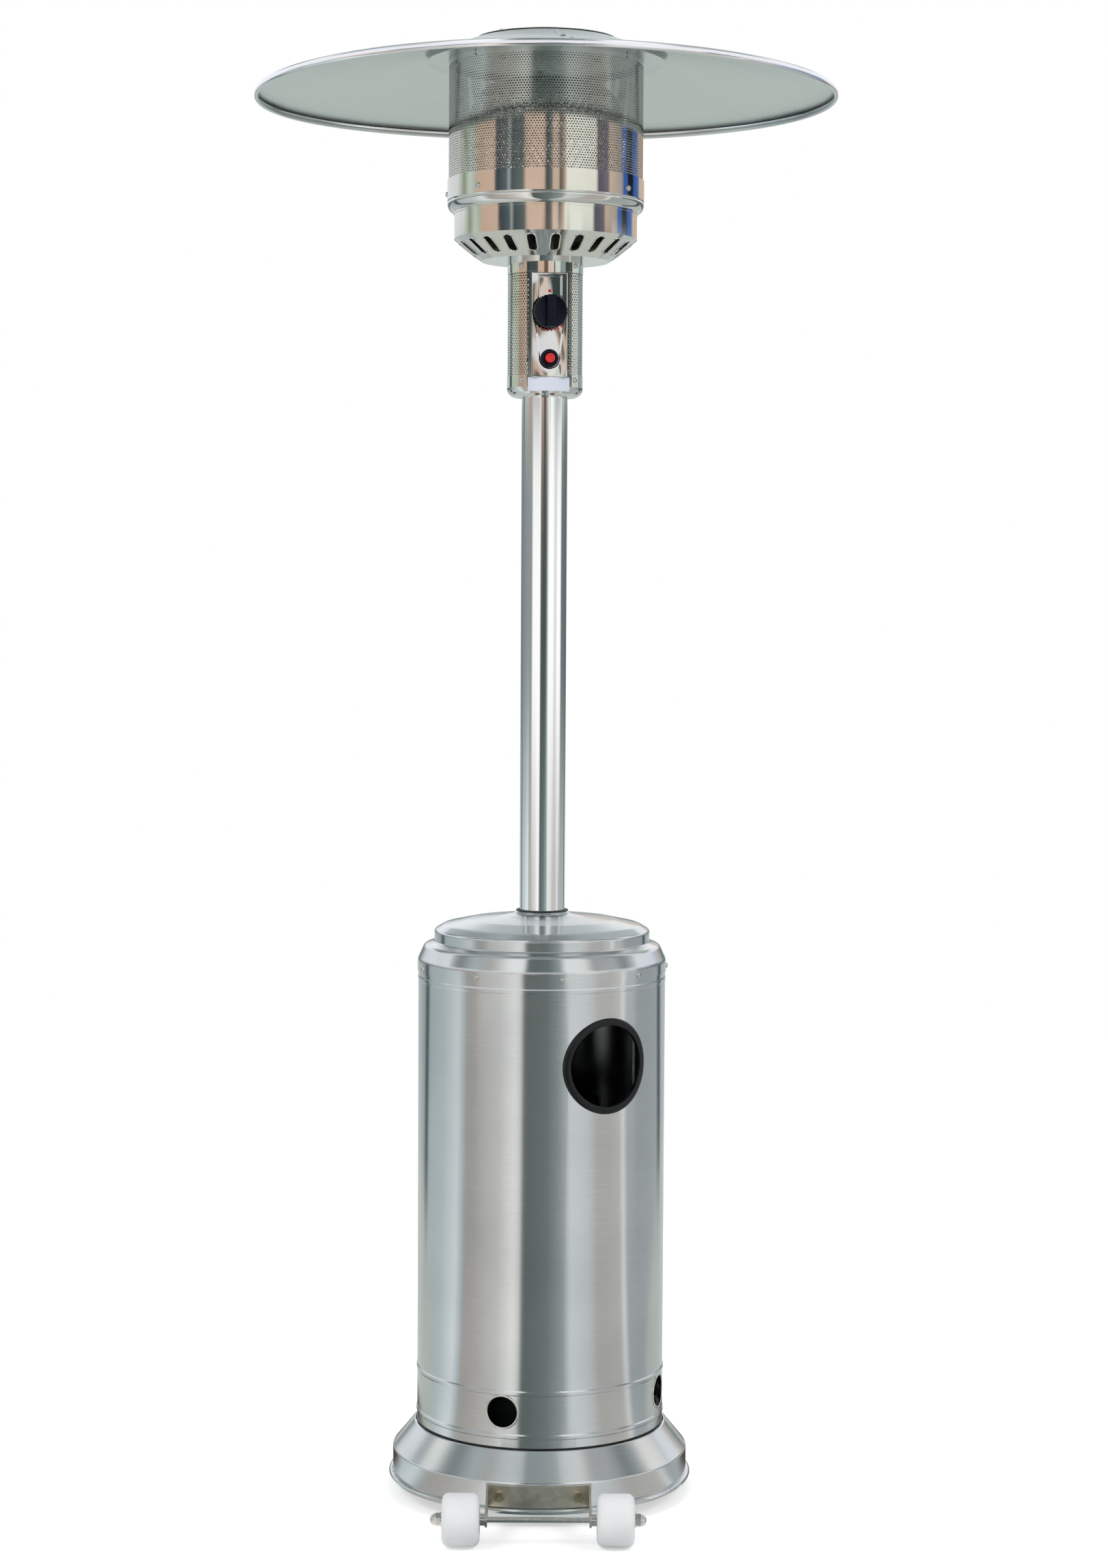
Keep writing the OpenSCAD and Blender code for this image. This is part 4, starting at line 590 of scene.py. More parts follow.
# %% Helpers for Geometry Nodes
def new_geometry_tree(name, inputs):
    """A Geometry Nodes tree with named inputs, given as pairs of a name and a socket type."""
    tree = bpy.data.node_groups.new(name, "GeometryNodeTree")
    for label, kind in inputs:
        tree.interface.new_socket(label, in_out="INPUT", socket_type="NodeSocket" + kind)
    tree.interface.new_socket("Geometry", in_out="OUTPUT", socket_type="NodeSocketGeometry")
    return tree, put(tree, "NodeGroupInput").outputs


def finish_tree(tree, geometry, material):
    """Makes instances real, sets the material, and ends the tree."""
    real = put(tree, "GeometryNodeRealizeInstances", {"Geometry": geometry})
    painted = put(tree, "GeometryNodeSetMaterial", {"Geometry": real, "Material": material})
    put(tree, "NodeGroupOutput", {0: painted})


def show(name, mesh, body, smooth=40, finish=None):
    """Links a mesh as a piece that rides on a body, smooth but for edges sharper than an angle."""
    mesh.name = name
    if finish:
        mesh.materials.append(finish)
    piece = bpy.data.objects.new(name, mesh)
    bpy.context.scene.collection.objects.link(piece)
    if smooth:
        mesh.shade_smooth()
        mesh.set_sharp_from_angle(angle=math.radians(smooth))
    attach(piece, body)
    return piece


def grown(tree, values):
    """Runs a tree with its named inputs on an empty object, and gives the result as a plain mesh."""
    seed = bpy.data.objects.new("seed", bpy.data.meshes.new("seed"))
    bpy.context.scene.collection.objects.link(seed)
    modifier = seed.modifiers.new("grow", "NODES")
    modifier.node_group = tree
    for item in tree.interface.items_tree:
        if item.in_out == "INPUT" and item.name in values:
            modifier[item.identifier] = values[item.name]
    evaluated = seed.evaluated_get(bpy.context.evaluated_depsgraph_get())
    mesh = bpy.data.meshes.new_from_object(evaluated)
    bpy.data.objects.remove(seed)
    return mesh


# %% Tree of the perforated sheet
WELD = 0.02 * MM


def perforated_tree():
    """A honeycomb with a hole in each cell, rolled round the axis, with a shoulder that leans inwards."""
    tree, given = new_geometry_tree("perforated sheet", [
        ("Columns", "Int"), ("Rows", "Int"), ("Pitch", "Float"), ("Radius", "Float"), ("First Turn", "Float"),
        ("Bottom", "Float"), ("Straight", "Float"), ("Shoulder", "Float"), ("Open Share", "Float"),
        ("Thickness", "Float"), ("Finish", "Material")])
    index = put(tree, "GeometryNodeInputIndex")
    count = put(tree, MATH, (given["Columns"], given["Rows"]), operation="MULTIPLY")
    column = put(tree, MATH, (index, given["Columns"]), operation="MODULO")
    rows_up = put(tree, MATH, (index, given["Columns"]), operation="DIVIDE")
    row = put(tree, MATH, (rows_up,), operation="FLOOR")
    odd = put(tree, MATH, (row, 2.0), operation="MODULO")
    shifted = put(tree, MATH, (odd, 0.5, column), operation="MULTIPLY_ADD")
    row_pitch = put(tree, MATH, (given["Pitch"], math.sqrt(0.75)), operation="MULTIPLY")
    spot = put(tree, "ShaderNodeCombineXYZ", {
        "X": put(tree, MATH, (shifted, given["Pitch"]), operation="MULTIPLY"),
        "Z": put(tree, MATH, (row, row_pitch), operation="MULTIPLY")})
    points = put(tree, "GeometryNodePoints", {"Count": count, "Position": spot})
    corner = put(tree, MATH, (given["Pitch"], math.sqrt(3)), operation="DIVIDE")
    cell = put(tree, "GeometryNodeMeshCircle", {"Vertices": 6, "Radius": corner}, fill_type="NGON")
    pointed = put(tree, "GeometryNodeTransform", {"Geometry": cell, "Rotation": (0, 0, math.radians(30))})
    doubled = put(tree, "GeometryNodeExtrudeMesh", {"Mesh": pointed, "Offset Scale": 0.0, "Individual": True},
                  mode="FACES")
    shrunk = put(tree, "GeometryNodeScaleElements", {
        "Geometry": doubled, "Selection": doubled.outputs["Top"], "Scale": given["Open Share"]})
    ring = put(tree, "GeometryNodeDeleteGeometry", {"Geometry": shrunk, "Selection": doubled.outputs["Top"]},
               domain="FACE")
    placed = put(tree, "GeometryNodeInstanceOnPoints", {
        "Points": points, "Instance": ring, "Rotation": (math.radians(90), 0, 0)})
    real = put(tree, "GeometryNodeRealizeInstances", (placed,))
    flat = put(tree, "GeometryNodeMergeByDistance", {"Geometry": real, "Distance": WELD})
    rolled = put(tree, "GeometryNodeSetPosition", {"Geometry": flat, "Position": rolled_place(tree, given)})
    sheet = put(tree, "GeometryNodeMergeByDistance", {"Geometry": rolled, "Distance": WELD})
    inner = put(tree, "GeometryNodeFlipFaces", {"Mesh": sheet})
    outer = put(tree, "GeometryNodeExtrudeMesh", {
        "Mesh": sheet, "Individual": False, "Offset Scale": given["Thickness"]}, mode="FACES")
    both = put(tree, "GeometryNodeJoinGeometry", (inner,))
    tree.links.new(outer.outputs["Mesh"], both.inputs[0])
    welded = put(tree, "GeometryNodeMergeByDistance", {"Geometry": both, "Distance": WELD})
    finish_tree(tree, welded, given["Finish"])
    return tree


def rolled_place(tree, given):
    """Where a point of the flat honeycomb lies on the wall, or past the straight height on the shoulder."""
    parts = put(tree, "ShaderNodeSeparateXYZ", (put(tree, "GeometryNodeInputPosition"),)).outputs
    along = put(tree, MATH, (parts["X"], given["Radius"]), operation="DIVIDE")
    turn = put(tree, MATH, (along, given["First Turn"]), operation="ADD")
    over = put(tree, MATH, (parts["Z"], given["Straight"]), operation="SUBTRACT")
    past = put(tree, MATH, (over, 0.0), operation="MAXIMUM")
    lean = put(tree, MATH, (past, given["Shoulder"]), operation="DIVIDE")
    left = put(tree, MATH, (1.0, put(tree, MATH, (lean,), operation="COSINE")), operation="SUBTRACT")
    drawn_in = put(tree, MATH, (given["Shoulder"], left), operation="MULTIPLY")
    radius = put(tree, MATH, (given["Radius"], drawn_in), operation="SUBTRACT")
    upright = put(tree, MATH, (parts["Z"], given["Straight"]), operation="MINIMUM")
    foot = put(tree, MATH, (given["Bottom"], upright), operation="ADD")
    rise = put(tree, MATH, (lean,), operation="SINE")
    height = put(tree, MATH, (given["Shoulder"], rise, foot), operation="MULTIPLY_ADD")
    return round_the_axis(tree, radius, turn, height)


def round_the_axis(tree, radius, turn, height):
    """The place at a radius, a turn from the front and a height."""
    back = put(tree, MATH, (radius, -1.0), operation="MULTIPLY")
    sine = put(tree, MATH, (turn,), operation="SINE")
    cosine = put(tree, MATH, (turn,), operation="COSINE")
    return put(tree, "ShaderNodeCombineXYZ", {
        "X": put(tree, MATH, (radius, sine), operation="MULTIPLY"),
        "Y": put(tree, MATH, (back, cosine), operation="MULTIPLY"), "Z": height})


PERFORATED = perforated_tree()
print("perforated sheet tree:", len(PERFORATED.nodes), "nodes")


# %% A perforated wall of any size
NO_SHOULDER = 1.0


def perforated(radius, bottom, rows, pitch, hole_d, sheet, finish, turns=(0, 360), straight=NO_SHOULDER,
               shoulder=NO_SHOULDER):
    """Mesh of a perforated wall. Its six-sided hole has the area of the round one that was punched."""
    inside = radius - sheet
    round_wall = math.radians(turns[1] - turns[0]) * inside
    columns = round(round_wall / pitch)
    cell_corner = round_wall / columns / math.sqrt(3)
    hole_corner = math.sqrt(math.pi * hole_d ** 2 / 4 / (1.5 * math.sqrt(3)))
    return grown(PERFORATED, {
        "Columns": columns, "Rows": rows, "Pitch": round_wall / columns, "Radius": inside,
        "First Turn": math.radians(turns[0]), "Bottom": bottom, "Straight": straight, "Shoulder": shoulder,
        "Open Share": hole_corner / cell_corner, "Thickness": sheet, "Finish": finish})


SCREEN_PITCH = 4.2 * MM
SCREEN_HOLE_D = 2.8 * MM
SCREEN_SHEET = 0.8 * MM
SCREEN_BANDS = 3

low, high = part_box("emitter_screen")
row_pitch = SCREEN_PITCH * math.sqrt(0.75)
rows_in_band = 2 * round((high.z - low.z) / row_pitch / SCREEN_BANDS / 2)  # an even count, so that bands mesh
for band in range(SCREEN_BANDS):
    bottom = low.z + SCREEN_PITCH / math.sqrt(3) + band * rows_in_band * row_pitch
    mesh = perforated(radius_of("emitter_screen"), bottom, rows_in_band, SCREEN_PITCH, SCREEN_HOLE_D,
                      SCREEN_SHEET, polished)
    piece = show(f"emitter_screen_band_{band + 1}", mesh, "frame", smooth=None)
    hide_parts("emitter_screen")
    print(piece.name, len(mesh.polygons), "faces")

# %% [markdown]
# ## The dome inside the screen
#
# Through the screen one sees a second perforated sheet, a dome with larger holes. It uses the same tree, with
# a shoulder that leans in towards the crown, and a plain pressed cap closes it.

# %% Turned shells
def arc(middle, radius, degrees):
    """Points of a circle at some angles, counted from its right side."""
    return [(middle[0] + radius * math.cos(math.radians(a)), middle[1] + radius * math.sin(math.radians(a)))
            for a in degrees]


def smooth_curve(points, steps):
    """A curve through given points, with a few steps between each two."""
    ends = [points[0], *points, points[-1]]
    curve = []
    for i in range(1, len(ends) - 2):
        p0, p1, p2, p3 = (Vector(p) for p in ends[i - 1:i + 3])
        for k in range(steps):
            t = k / steps
            curve.append(0.5 * (2 * p1 + (p2 - p0) * t + (2 * p0 - 5 * p1 + 4 * p2 - p3) * t ** 2
                                + (3 * p1 - p0 - 3 * p2 + p3) * t ** 3))
    return [*curve, Vector(points[-1])]


def thick(outline, sheet):
    """A closed outline: the outer face as given, and the inner face one sheet to its left."""
    points = [Vector(p) for p in outline]
    inner = []
    for i, p in enumerate(points):
        before = (p - points[i - 1]).normalized() if i else (points[1] - p).normalized()
        after = (points[i + 1] - p).normalized() if i + 1 < len(points) else before
        a, b = Vector((-before.y, before.x)), Vector((-after.y, after.x))
        inner.append(p + sheet * (a + b) / (1 + a.dot(b)))
    return points + inner[::-1]


def bridge(work, rings, closed=True):
    """Faces between rings of points that follow one another, and from the last to the first if closed."""
    for i in range(len(rings) if closed else len(rings) - 1):
        one, two = rings[i], rings[(i + 1) % len(rings)]
        for k in range(len(one)):
            n = (k + 1) % len(one)
            work.faces.new((one[k], two[k], two[n], one[n]))


def turned(loop, steps=144, turns=(0, 360)):
    """Mesh of a closed outline of radius and height that is turned round the axis between two azimuths."""
    work = bmesh.new()
    whole = turns[1] - turns[0] == 360
    rings = []
    for i in range(steps if whole else steps + 1):
        a = math.radians(turns[0] + (turns[1] - turns[0]) * i / steps)
        rings.append([work.verts.new((p[0] * math.sin(a), -p[0] * math.cos(a), p[1])) for p in loop])
    bridge(work, rings, whole)
    if not whole:
        work.faces.new(rings[0])
        work.faces.new(rings[-1][::-1])
    bmesh.ops.remove_doubles(work, verts=work.verts, dist=WELD / 10)
    bmesh.ops.dissolve_degenerate(work, edges=work.edges, dist=WELD / 10)
    bmesh.ops.recalc_face_normals(work, faces=work.faces)
    return mesh_of(work, "turned")


# %% Inner dome
DOME_PITCH = 6.5 * MM
DOME_HOLE_D = 4.2 * MM
DOME_CROWN_R = 60 * MM
DOME_LEAN = 66

low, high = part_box("inner_emitter")
dome_r = radius_of("inner_emitter")
straight = high.z - low.z - DOME_CROWN_R
rows = round((straight + DOME_CROWN_R * math.radians(DOME_LEAN)) / (DOME_PITCH * math.sqrt(0.75)))
cell_r = DOME_PITCH / math.sqrt(3)
mesh = perforated(dome_r, low.z + cell_r, rows, DOME_PITCH, DOME_HOLE_D, SCREEN_SHEET, polished,
                  straight=straight - cell_r, shoulder=DOME_CROWN_R - SCREEN_SHEET)
dome = show("inner_dome", mesh, "frame", smooth=None)
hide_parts("inner_emitter")
cap_line = arc((dome_r - DOME_CROWN_R, high.z - DOME_CROWN_R), DOME_CROWN_R, range(DOME_LEAN, 91, 4))
cap = show("inner_dome_cap", turned(thick([*cap_line, (0, high.z)], SCREEN_SHEET), 96), "frame",
           finish=polished)
print("dome rows", rows, "faces", len(mesh.polygons))

# %% [markdown]
# ## The shell of the control head
#
# The shell is perforated all round but for a plain strip behind the face plate, where it is cut open for the
# valve. The strip is one bent panel with a window.

# %% Control shell
HEAD_TURN = 7
SHELL_PITCH = 4.4 * MM
SHELL_HOLE_D = 2.7 * MM
SHELL_SHEET = 0.7 * MM
STRIP_HALF = 33
SIDE_CELLS = 4
WINDOW_CELLS = 8
WINDOW_HALF = 21 * MM
WINDOW_INSET = 22 * MM


def drop_loose(work):
    """Removes the points that no face uses."""
    loose = [v for v in work.verts if not v.link_faces]
    bmesh.ops.delete(work, geom=loose, context="VERTS")


def bent_panel(radius, sheet, turns, heights, window):
    """Mesh of an upright bent sheet over a range of azimuths and heights, without the cells of its window."""
    work = bmesh.new()
    corners = {}
    for side, r in enumerate((radius, radius - sheet)):
        for i, turn in enumerate(turns):
            for k, z in enumerate(heights):
                a = math.radians(turn)
                corners[side, i, k] = work.verts.new((r * math.sin(a), -r * math.cos(a), z))
    cells = {(i, k) for i in range(len(turns) - 1) for k in range(len(heights) - 1) if not window(i, k)}
    for i, k in cells:
        ring = [(i, k), (i + 1, k), (i + 1, k + 1), (i, k + 1)]
        work.faces.new([corners[0, *c] for c in ring])
        work.faces.new([corners[1, *c] for c in ring[::-1]])
        beside = [(i, k - 1), (i + 1, k), (i, k + 1), (i - 1, k)]
        for edge, neighbour in enumerate(beside):
            if neighbour not in cells:
                a, b = ring[edge], ring[(edge + 1) % 4]
                work.faces.new([corners[0, *a], corners[1, *a], corners[1, *b], corners[0, *b]])
    bmesh.ops.recalc_face_normals(work, faces=work.faces)
    drop_loose(work)
    return mesh_of(work, "bent panel")


low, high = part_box("control_shell")
shell_r = radius_of("control_shell")
window_turn = math.degrees(math.asin(WINDOW_HALF / shell_r))
rows = math.floor((high.z - low.z) / (SHELL_PITCH * math.sqrt(0.75)))
mesh = perforated(shell_r, low.z + SHELL_PITCH / math.sqrt(3), rows, SHELL_PITCH, SHELL_HOLE_D, SHELL_SHEET,
                  polished, turns=(HEAD_TURN + STRIP_HALF, HEAD_TURN + 360 - STRIP_HALF))
shell = show("control_shell_perforated", mesh, "frame", smooth=None)
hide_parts("control_shell")
beside = [STRIP_HALF - (STRIP_HALF - window_turn) * i / SIDE_CELLS for i in range(SIDE_CELLS + 1)]
across = [window_turn - 2 * window_turn * i / WINDOW_CELLS for i in range(1, WINDOW_CELLS)]
turns = [HEAD_TURN - a for a in [*beside, *across, *[-a for a in beside[::-1]]]]
heights = [low.z, low.z + WINDOW_INSET, high.z - WINDOW_INSET, high.z]
mesh = bent_panel(shell_r, SHELL_SHEET, turns, heights,
                  lambda i, k: k == 1 and SIDE_CELLS <= i < SIDE_CELLS + WINDOW_CELLS)
strip = show("control_shell_front", mesh, "frame", finish=polished)
print("shell faces", len(shell.data.polygons), "strip faces", len(mesh.polygons))

# %% [markdown]
# ## The panel of the control head
#
# The face plate is a shallow tray of bright sheet that a press has sunk round the knob and the igniter. Cut
# steps would look hard, so the plate is a fine grid whose depth follows a smooth curve across the edge of
# the pressed shape. Everything on the panel is built flat, with its width, its height and its distance from
# the post's axis, and is then laid on the head, which is turned a little to the right.

# %% Places on the panel
HEAD_A = math.radians(HEAD_TURN)
PANEL = Matrix(((math.cos(HEAD_A), 0, math.sin(HEAD_A), 0), (math.sin(HEAD_A), 0, -math.cos(HEAD_A), 0),
                (0, 1, 0, 0), (0, 0, 0, 1)))
PANEL_OUT = Vector((math.sin(HEAD_A), -math.cos(HEAD_A), 0))


def reach(node, way=PANEL_OUT):
    """Nearest and farthest distance of a node from the axis along a direction."""
    along = [v.co.dot(way) for v in NODES[node].data.vertices]
    return min(along), max(along)


def on_panel(mesh, height=0.0, out=0.0):
    """Moves a flat-built mesh to its height and distance, and lays it on the panel."""
    mesh.transform(PANEL @ Matrix.Translation((0, height, out)))
    return mesh


KNOB_Z = mid_height("control_knob")
BUTTON_Z = mid_height("igniter_button")
KNOB_BACK, KNOB_FRONT = reach("control_knob")
PLATE_FRONT = reach("face_plate")[1]
print("knob at", round(KNOB_Z / MM, 1), "mm, from", round(KNOB_BACK / MM, 2), "to", round(KNOB_FRONT / MM, 2))

# %% Face plate
PLATE_W = 53.5 * MM
PLATE_EDGE_R = 1.6 * MM
PLATE_SHEET = 0.8 * MM
PRESSED = 1.4 * MM
PRESSED_EDGE = 1.5 * MM
KNOB_WELL_R = 25.9 * MM
BUTTON_WELL_R = 15.1 * MM
NECK_HALF = 17 * MM
NECK_INSET = 5 * MM
KNOB_HOLE_R = 13 * MM
BUTTON_HOLE_R = 9.2 * MM
GRID = 0.8 * MM
TAPER_CURVE = 1.6
SLACK = 0.1 * MM


def pressed_distance(x, y, top):
    """How far a point lies inside the pressed shape: two wells, the taper between them, and the neck."""
    knob = KNOB_WELL_R - math.hypot(x, y - KNOB_Z)
    button = BUTTON_WELL_R - math.hypot(x, y - BUTTON_Z)
    share = min(max((y - BUTTON_Z) / (KNOB_Z - BUTTON_Z), 0), 1)
    taper = min(BUTTON_WELL_R + (KNOB_WELL_R - BUTTON_WELL_R) * share ** TAPER_CURVE - abs(x),
                y - BUTTON_Z, KNOB_Z - y)
    neck = min(NECK_HALF - abs(x), top - NECK_INSET - y, y - KNOB_Z)
    return max(knob, button, taper, neck)


def tray_line(length):
    """Places across the tray, and how far each lies behind the front: wall, rounded edge and flat."""
    edge = [(-length / 2 + PLATE_EDGE_R * (1 - math.cos(a)), PLATE_EDGE_R * (1 - math.sin(a)))
            for a in (math.radians(15 * i) for i in range(6))]
    count = round((length - 2 * PLATE_EDGE_R) / GRID)
    flat = [(-length / 2 + PLATE_EDGE_R + (length - 2 * PLATE_EDGE_R) * i / count, 0.0)
            for i in range(count + 1)]
    return [(-length / 2, 1.0), *edge, *flat, *[(-x, back) for x, back in edge[::-1]], (length / 2, 1.0)]


def face_plate_mesh():
    """The pressed tray as a grid, cut open behind the knob and the button, with its sheet thickness."""
    low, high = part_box("face_plate")
    work = bmesh.new()
    grid = []
    for v, back_v in tray_line(high.z - low.z):
        row = []
        for u, back_u in tray_line(PLATE_W):
            y = (low.z + high.z) / 2 + v
            wall = math.sqrt(shell_r ** 2 - u ** 2) + SLACK
            inside = pressed_distance(u, y, high.z) / PRESSED_EDGE + 0.5
            s = min(max(inside, 0), 1)
            out = PLATE_FRONT - max(back_u, back_v) - PRESSED * s * s * (3 - 2 * s)
            row.append(work.verts.new((u, y, max(out, wall))))
        grid.append(row)
    for one, two in zip(grid, grid[1:]):
        for k in range(len(one) - 1):
            corner = one[k].co
            if (math.hypot(corner.x, corner.y - KNOB_Z) > KNOB_HOLE_R
                    and math.hypot(corner.x, corner.y - BUTTON_Z) > BUTTON_HOLE_R):
                work.faces.new((one[k], one[k + 1], two[k + 1], two[k]))
    drop_loose(work)
    return on_panel(mesh_of(work, "face plate"))


plate = show("face_plate_pressed", face_plate_mesh(), "frame", 60, pressed_steel)
wall = plate.modifiers.new("sheet", "SOLIDIFY")
wall.thickness = PLATE_SHEET
wall.offset = -1
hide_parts("face_plate")
print("face plate faces", len(plate.data.polygons))

# %% [markdown]
# ## Knob, bezel and button
#
# The knob is moulded in one piece: a fluted skirt, a flat face and a grip bar across it. The flutes are a
# wave on the rim of the turned skirt, one ring of points at a time, because they fade out towards the face.
# The bezel and the button are outlines turned round their own axis, with soft corners as a mould leaves
# them, and the panel's matrix then lays them on the head.

# %% Control knob
FLUTES = 28
FLUTE_DEPTH = 0.9 * MM
FLUTE_POINTS = 8
SKIRT = 10 * MM
SKIRT_LIP = 1.6 * MM
GRIP_W = 13.5 * MM
GRIP_SHARE = 0.94
GRIP_DRAFT = 0.9
GRIP_EDGE = 1.8 * MM


def knob_skirt(work, radius):
    """Fluted skirt, as rings of a radius, a distance from the back and a share of the flute's depth."""
    lip = SKIRT_LIP
    rings = [(radius, 0, 1), (radius, SKIRT - lip, 1), (radius - 0.3 * lip, SKIRT - 0.45 * lip, 0.6),
             (radius - lip, SKIRT, 0.1), (radius - 2 * lip, SKIRT - 0.2 * lip, 0),
             (0.35 * radius, SKIRT - 0.5 * lip, 0)]
    count = FLUTES * FLUTE_POINTS
    loops = []
    for r, out, depth in rings:
        loop = []
        for i in range(count):
            a = math.tau * i / count
            wave = max(0.0, math.cos(FLUTES * a)) * FLUTE_DEPTH * depth
            loop.append(work.verts.new(((r - wave) * math.sin(a), (r - wave) * math.cos(a), out)))
        loops.append(loop)
    bridge(work, loops, closed=False)
    work.faces.new(loops[0])
    work.faces.new(loops[-1][::-1])


def knob_grip(work, radius, height):
    """Grip bar with round ends that follow the knob, and soft edges."""
    reach_out = radius * GRIP_SHARE
    half = math.asin(GRIP_W / 2 / reach_out)
    ends = [half * (i / 4 - 1) for i in range(9)]
    outline = [(reach_out * math.sin(a), reach_out * math.cos(a)) for a in ends]
    outline += [(-x, -y) for x, y in outline]
    base = [work.verts.new((x, y, SKIRT * 0.5)) for x, y in outline]
    face = work.faces.new(base[::-1])
    lifted = bmesh.ops.extrude_face_region(work, geom=[face])
    top = [e for e in lifted["geom"] if isinstance(e, bmesh.types.BMVert)]
    for vert in top:
        vert.co.z = height
        vert.co.x *= GRIP_DRAFT
    edges = {e for e in work.edges if all(v in top for v in e.verts)}
    bmesh.ops.bevel(work, geom=list(edges), offset=GRIP_EDGE, segments=3, affect="EDGES")


def knob_mesh():
    """Skirt and grip bar, laid on the panel."""
    work = bmesh.new()
    radius = half_height("control_knob")
    knob_skirt(work, radius)
    knob_grip(work, radius, KNOB_FRONT - KNOB_BACK)
    bmesh.ops.recalc_face_normals(work, faces=work.faces)
    return on_panel(mesh_of(work, "knob"), KNOB_Z, KNOB_BACK)


knob = show("knob_moulded", knob_mesh(), "knob", 35, black_plastic)
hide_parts("control_knob")
print("knob faces", len(knob.data.polygons))

# %% Bezel and button
BARREL_R = 9 * MM
BUTTON_GAP = 0.3 * MM
SOFT = 1.2 * MM

bezel_back, bezel_front = reach("igniter_bezel")
bezel_r = half_height("igniter_bezel")
button_back, button_front = reach("igniter_button")
button_r = half_height("igniter_button")
bore_r = button_r + BUTTON_GAP
seat = PLATE_FRONT - PRESSED
ring = [(bore_r, bezel_back), (BARREL_R, bezel_back), (BARREL_R, seat), (bezel_r, seat),
        (bezel_r, bezel_front - 2 * SOFT), (bezel_r - 0.3 * SOFT, bezel_front - SOFT),
        (bezel_r - SOFT, bezel_front - 0.3 * SOFT), (bezel_r - 2 * SOFT, bezel_front),
        (bore_r + SOFT, bezel_front), (bore_r + 0.3 * SOFT, bezel_front - 0.3 * SOFT),
        (bore_r, bezel_front - SOFT)]
bezel = show("bezel_moulded", on_panel(turned(ring, 96), BUTTON_Z), "frame", 50, black_plastic)
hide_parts("igniter_bezel")
push = [(0, button_back), (button_r, button_back), (button_r, button_front - SOFT),
        (button_r - 0.3 * SOFT, button_front - 0.3 * SOFT), (button_r - SOFT, button_front),
        (0.6 * button_r, button_front - 0.25 * SOFT), (0, button_front - 0.4 * SOFT)]
button = show("button_moulded", on_panel(turned(push, 64), BUTTON_Z), "button", 50, red_plastic)
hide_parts("igniter_button")
print("bezel radius", round(bezel_r / MM, 2), "button radius", round(button_r / MM, 2))

# %% [markdown]
# ## Printed dots
#
# A red dot above the knob marks where it is off, and a row of small dots under it marks the settings. They
# are drops of enamel, so each one is a low cap, set by Geometry Nodes along an arc round the knob.

# %% Dots round the knob
DOT_R = 1.5 * MM
DOT_LIFT = 0.35 * MM
TOP_DOT_SHARE = 1.7
ARC_R = 27.0 * MM
ARC_FROM = -117
ARC_TO = -50
ARC_DOTS = 7
TOP_DOT_UP = 31 * MM


def dots_tree():
    """Low caps along an arc, in the plane of the panel."""
    tree, given = new_geometry_tree("enamel dots", [
        ("Count", "Int"), ("Arc Radius", "Float"), ("From", "Float"), ("To", "Float"),
        ("Dot Radius", "Float"), ("Lift", "Float"), ("Finish", "Material")])
    index = put(tree, "GeometryNodeInputIndex")
    one_less = put(tree, MATH, (given["Count"], 1.0), operation="SUBTRACT")
    gaps = put(tree, MATH, (one_less, 1.0), operation="MAXIMUM")
    sweep = put(tree, MATH, (given["To"], given["From"]), operation="SUBTRACT")
    step = put(tree, MATH, (sweep, gaps), operation="DIVIDE")
    angle = put(tree, MATH, (index, step, given["From"]), operation="MULTIPLY_ADD")
    cosine = put(tree, MATH, (angle,), operation="COSINE")
    sine = put(tree, MATH, (angle,), operation="SINE")
    spot = put(tree, "ShaderNodeCombineXYZ", {
        "X": put(tree, MATH, (given["Arc Radius"], cosine), operation="MULTIPLY"),
        "Y": put(tree, MATH, (given["Arc Radius"], sine), operation="MULTIPLY")})
    points = put(tree, "GeometryNodePoints", {"Count": given["Count"], "Position": spot})
    ball = put(tree, "GeometryNodeMeshUVSphere", {"Segments": 20, "Rings": 8, "Radius": given["Dot Radius"]})
    flatness = put(tree, MATH, (given["Lift"], given["Dot Radius"]), operation="DIVIDE")
    flat = put(tree, "ShaderNodeCombineXYZ", {"X": 1.0, "Y": 1.0, "Z": flatness})
    placed = put(tree, "GeometryNodeInstanceOnPoints", {"Points": points, "Instance": ball, "Scale": flat})
    finish_tree(tree, placed, given["Finish"])
    return tree


DOTS = dots_tree()
row = grown(DOTS, {"Count": ARC_DOTS, "Arc Radius": ARC_R, "From": math.radians(ARC_FROM),
                   "To": math.radians(ARC_TO), "Dot Radius": DOT_R, "Lift": DOT_LIFT, "Finish": red_plastic})
show("setting_dots", on_panel(row, KNOB_Z, seat), "frame")
top_dot = grown(DOTS, {"Count": 1, "Arc Radius": TOP_DOT_UP, "From": math.pi / 2, "To": math.pi / 2,
                       "Dot Radius": DOT_R * TOP_DOT_SHARE, "Lift": DOT_LIFT, "Finish": red_plastic})
show("off_dot", on_panel(top_dot, KNOB_Z, seat), "frame")
print("dots", ARC_DOTS + 1)

# %% [markdown]
# ## Lips of the air slots
#
# The press that cuts the air slots in the bowl's cone also raises a lip round each. A rounded rectangle
# swept with a small bead, set twenty-two times round the cone, is that lip. The slots are the packed
# bowl's own, so their count, their size and the cone's floor and height are repeated here.

# %% Slot lips
SLOTS = 22
SLOT_L = 34 * MM
SLOT_W = 13 * MM
SLOT_MID_SHARE = 0.52
LIP_R = 1.1 * MM
ROUND_SHARE = 0.499  # a hair under half the width, so that the ends stay apart
BOWL_FLOOR_R = 95.5 * MM
CONE_H = 32.4 * MM


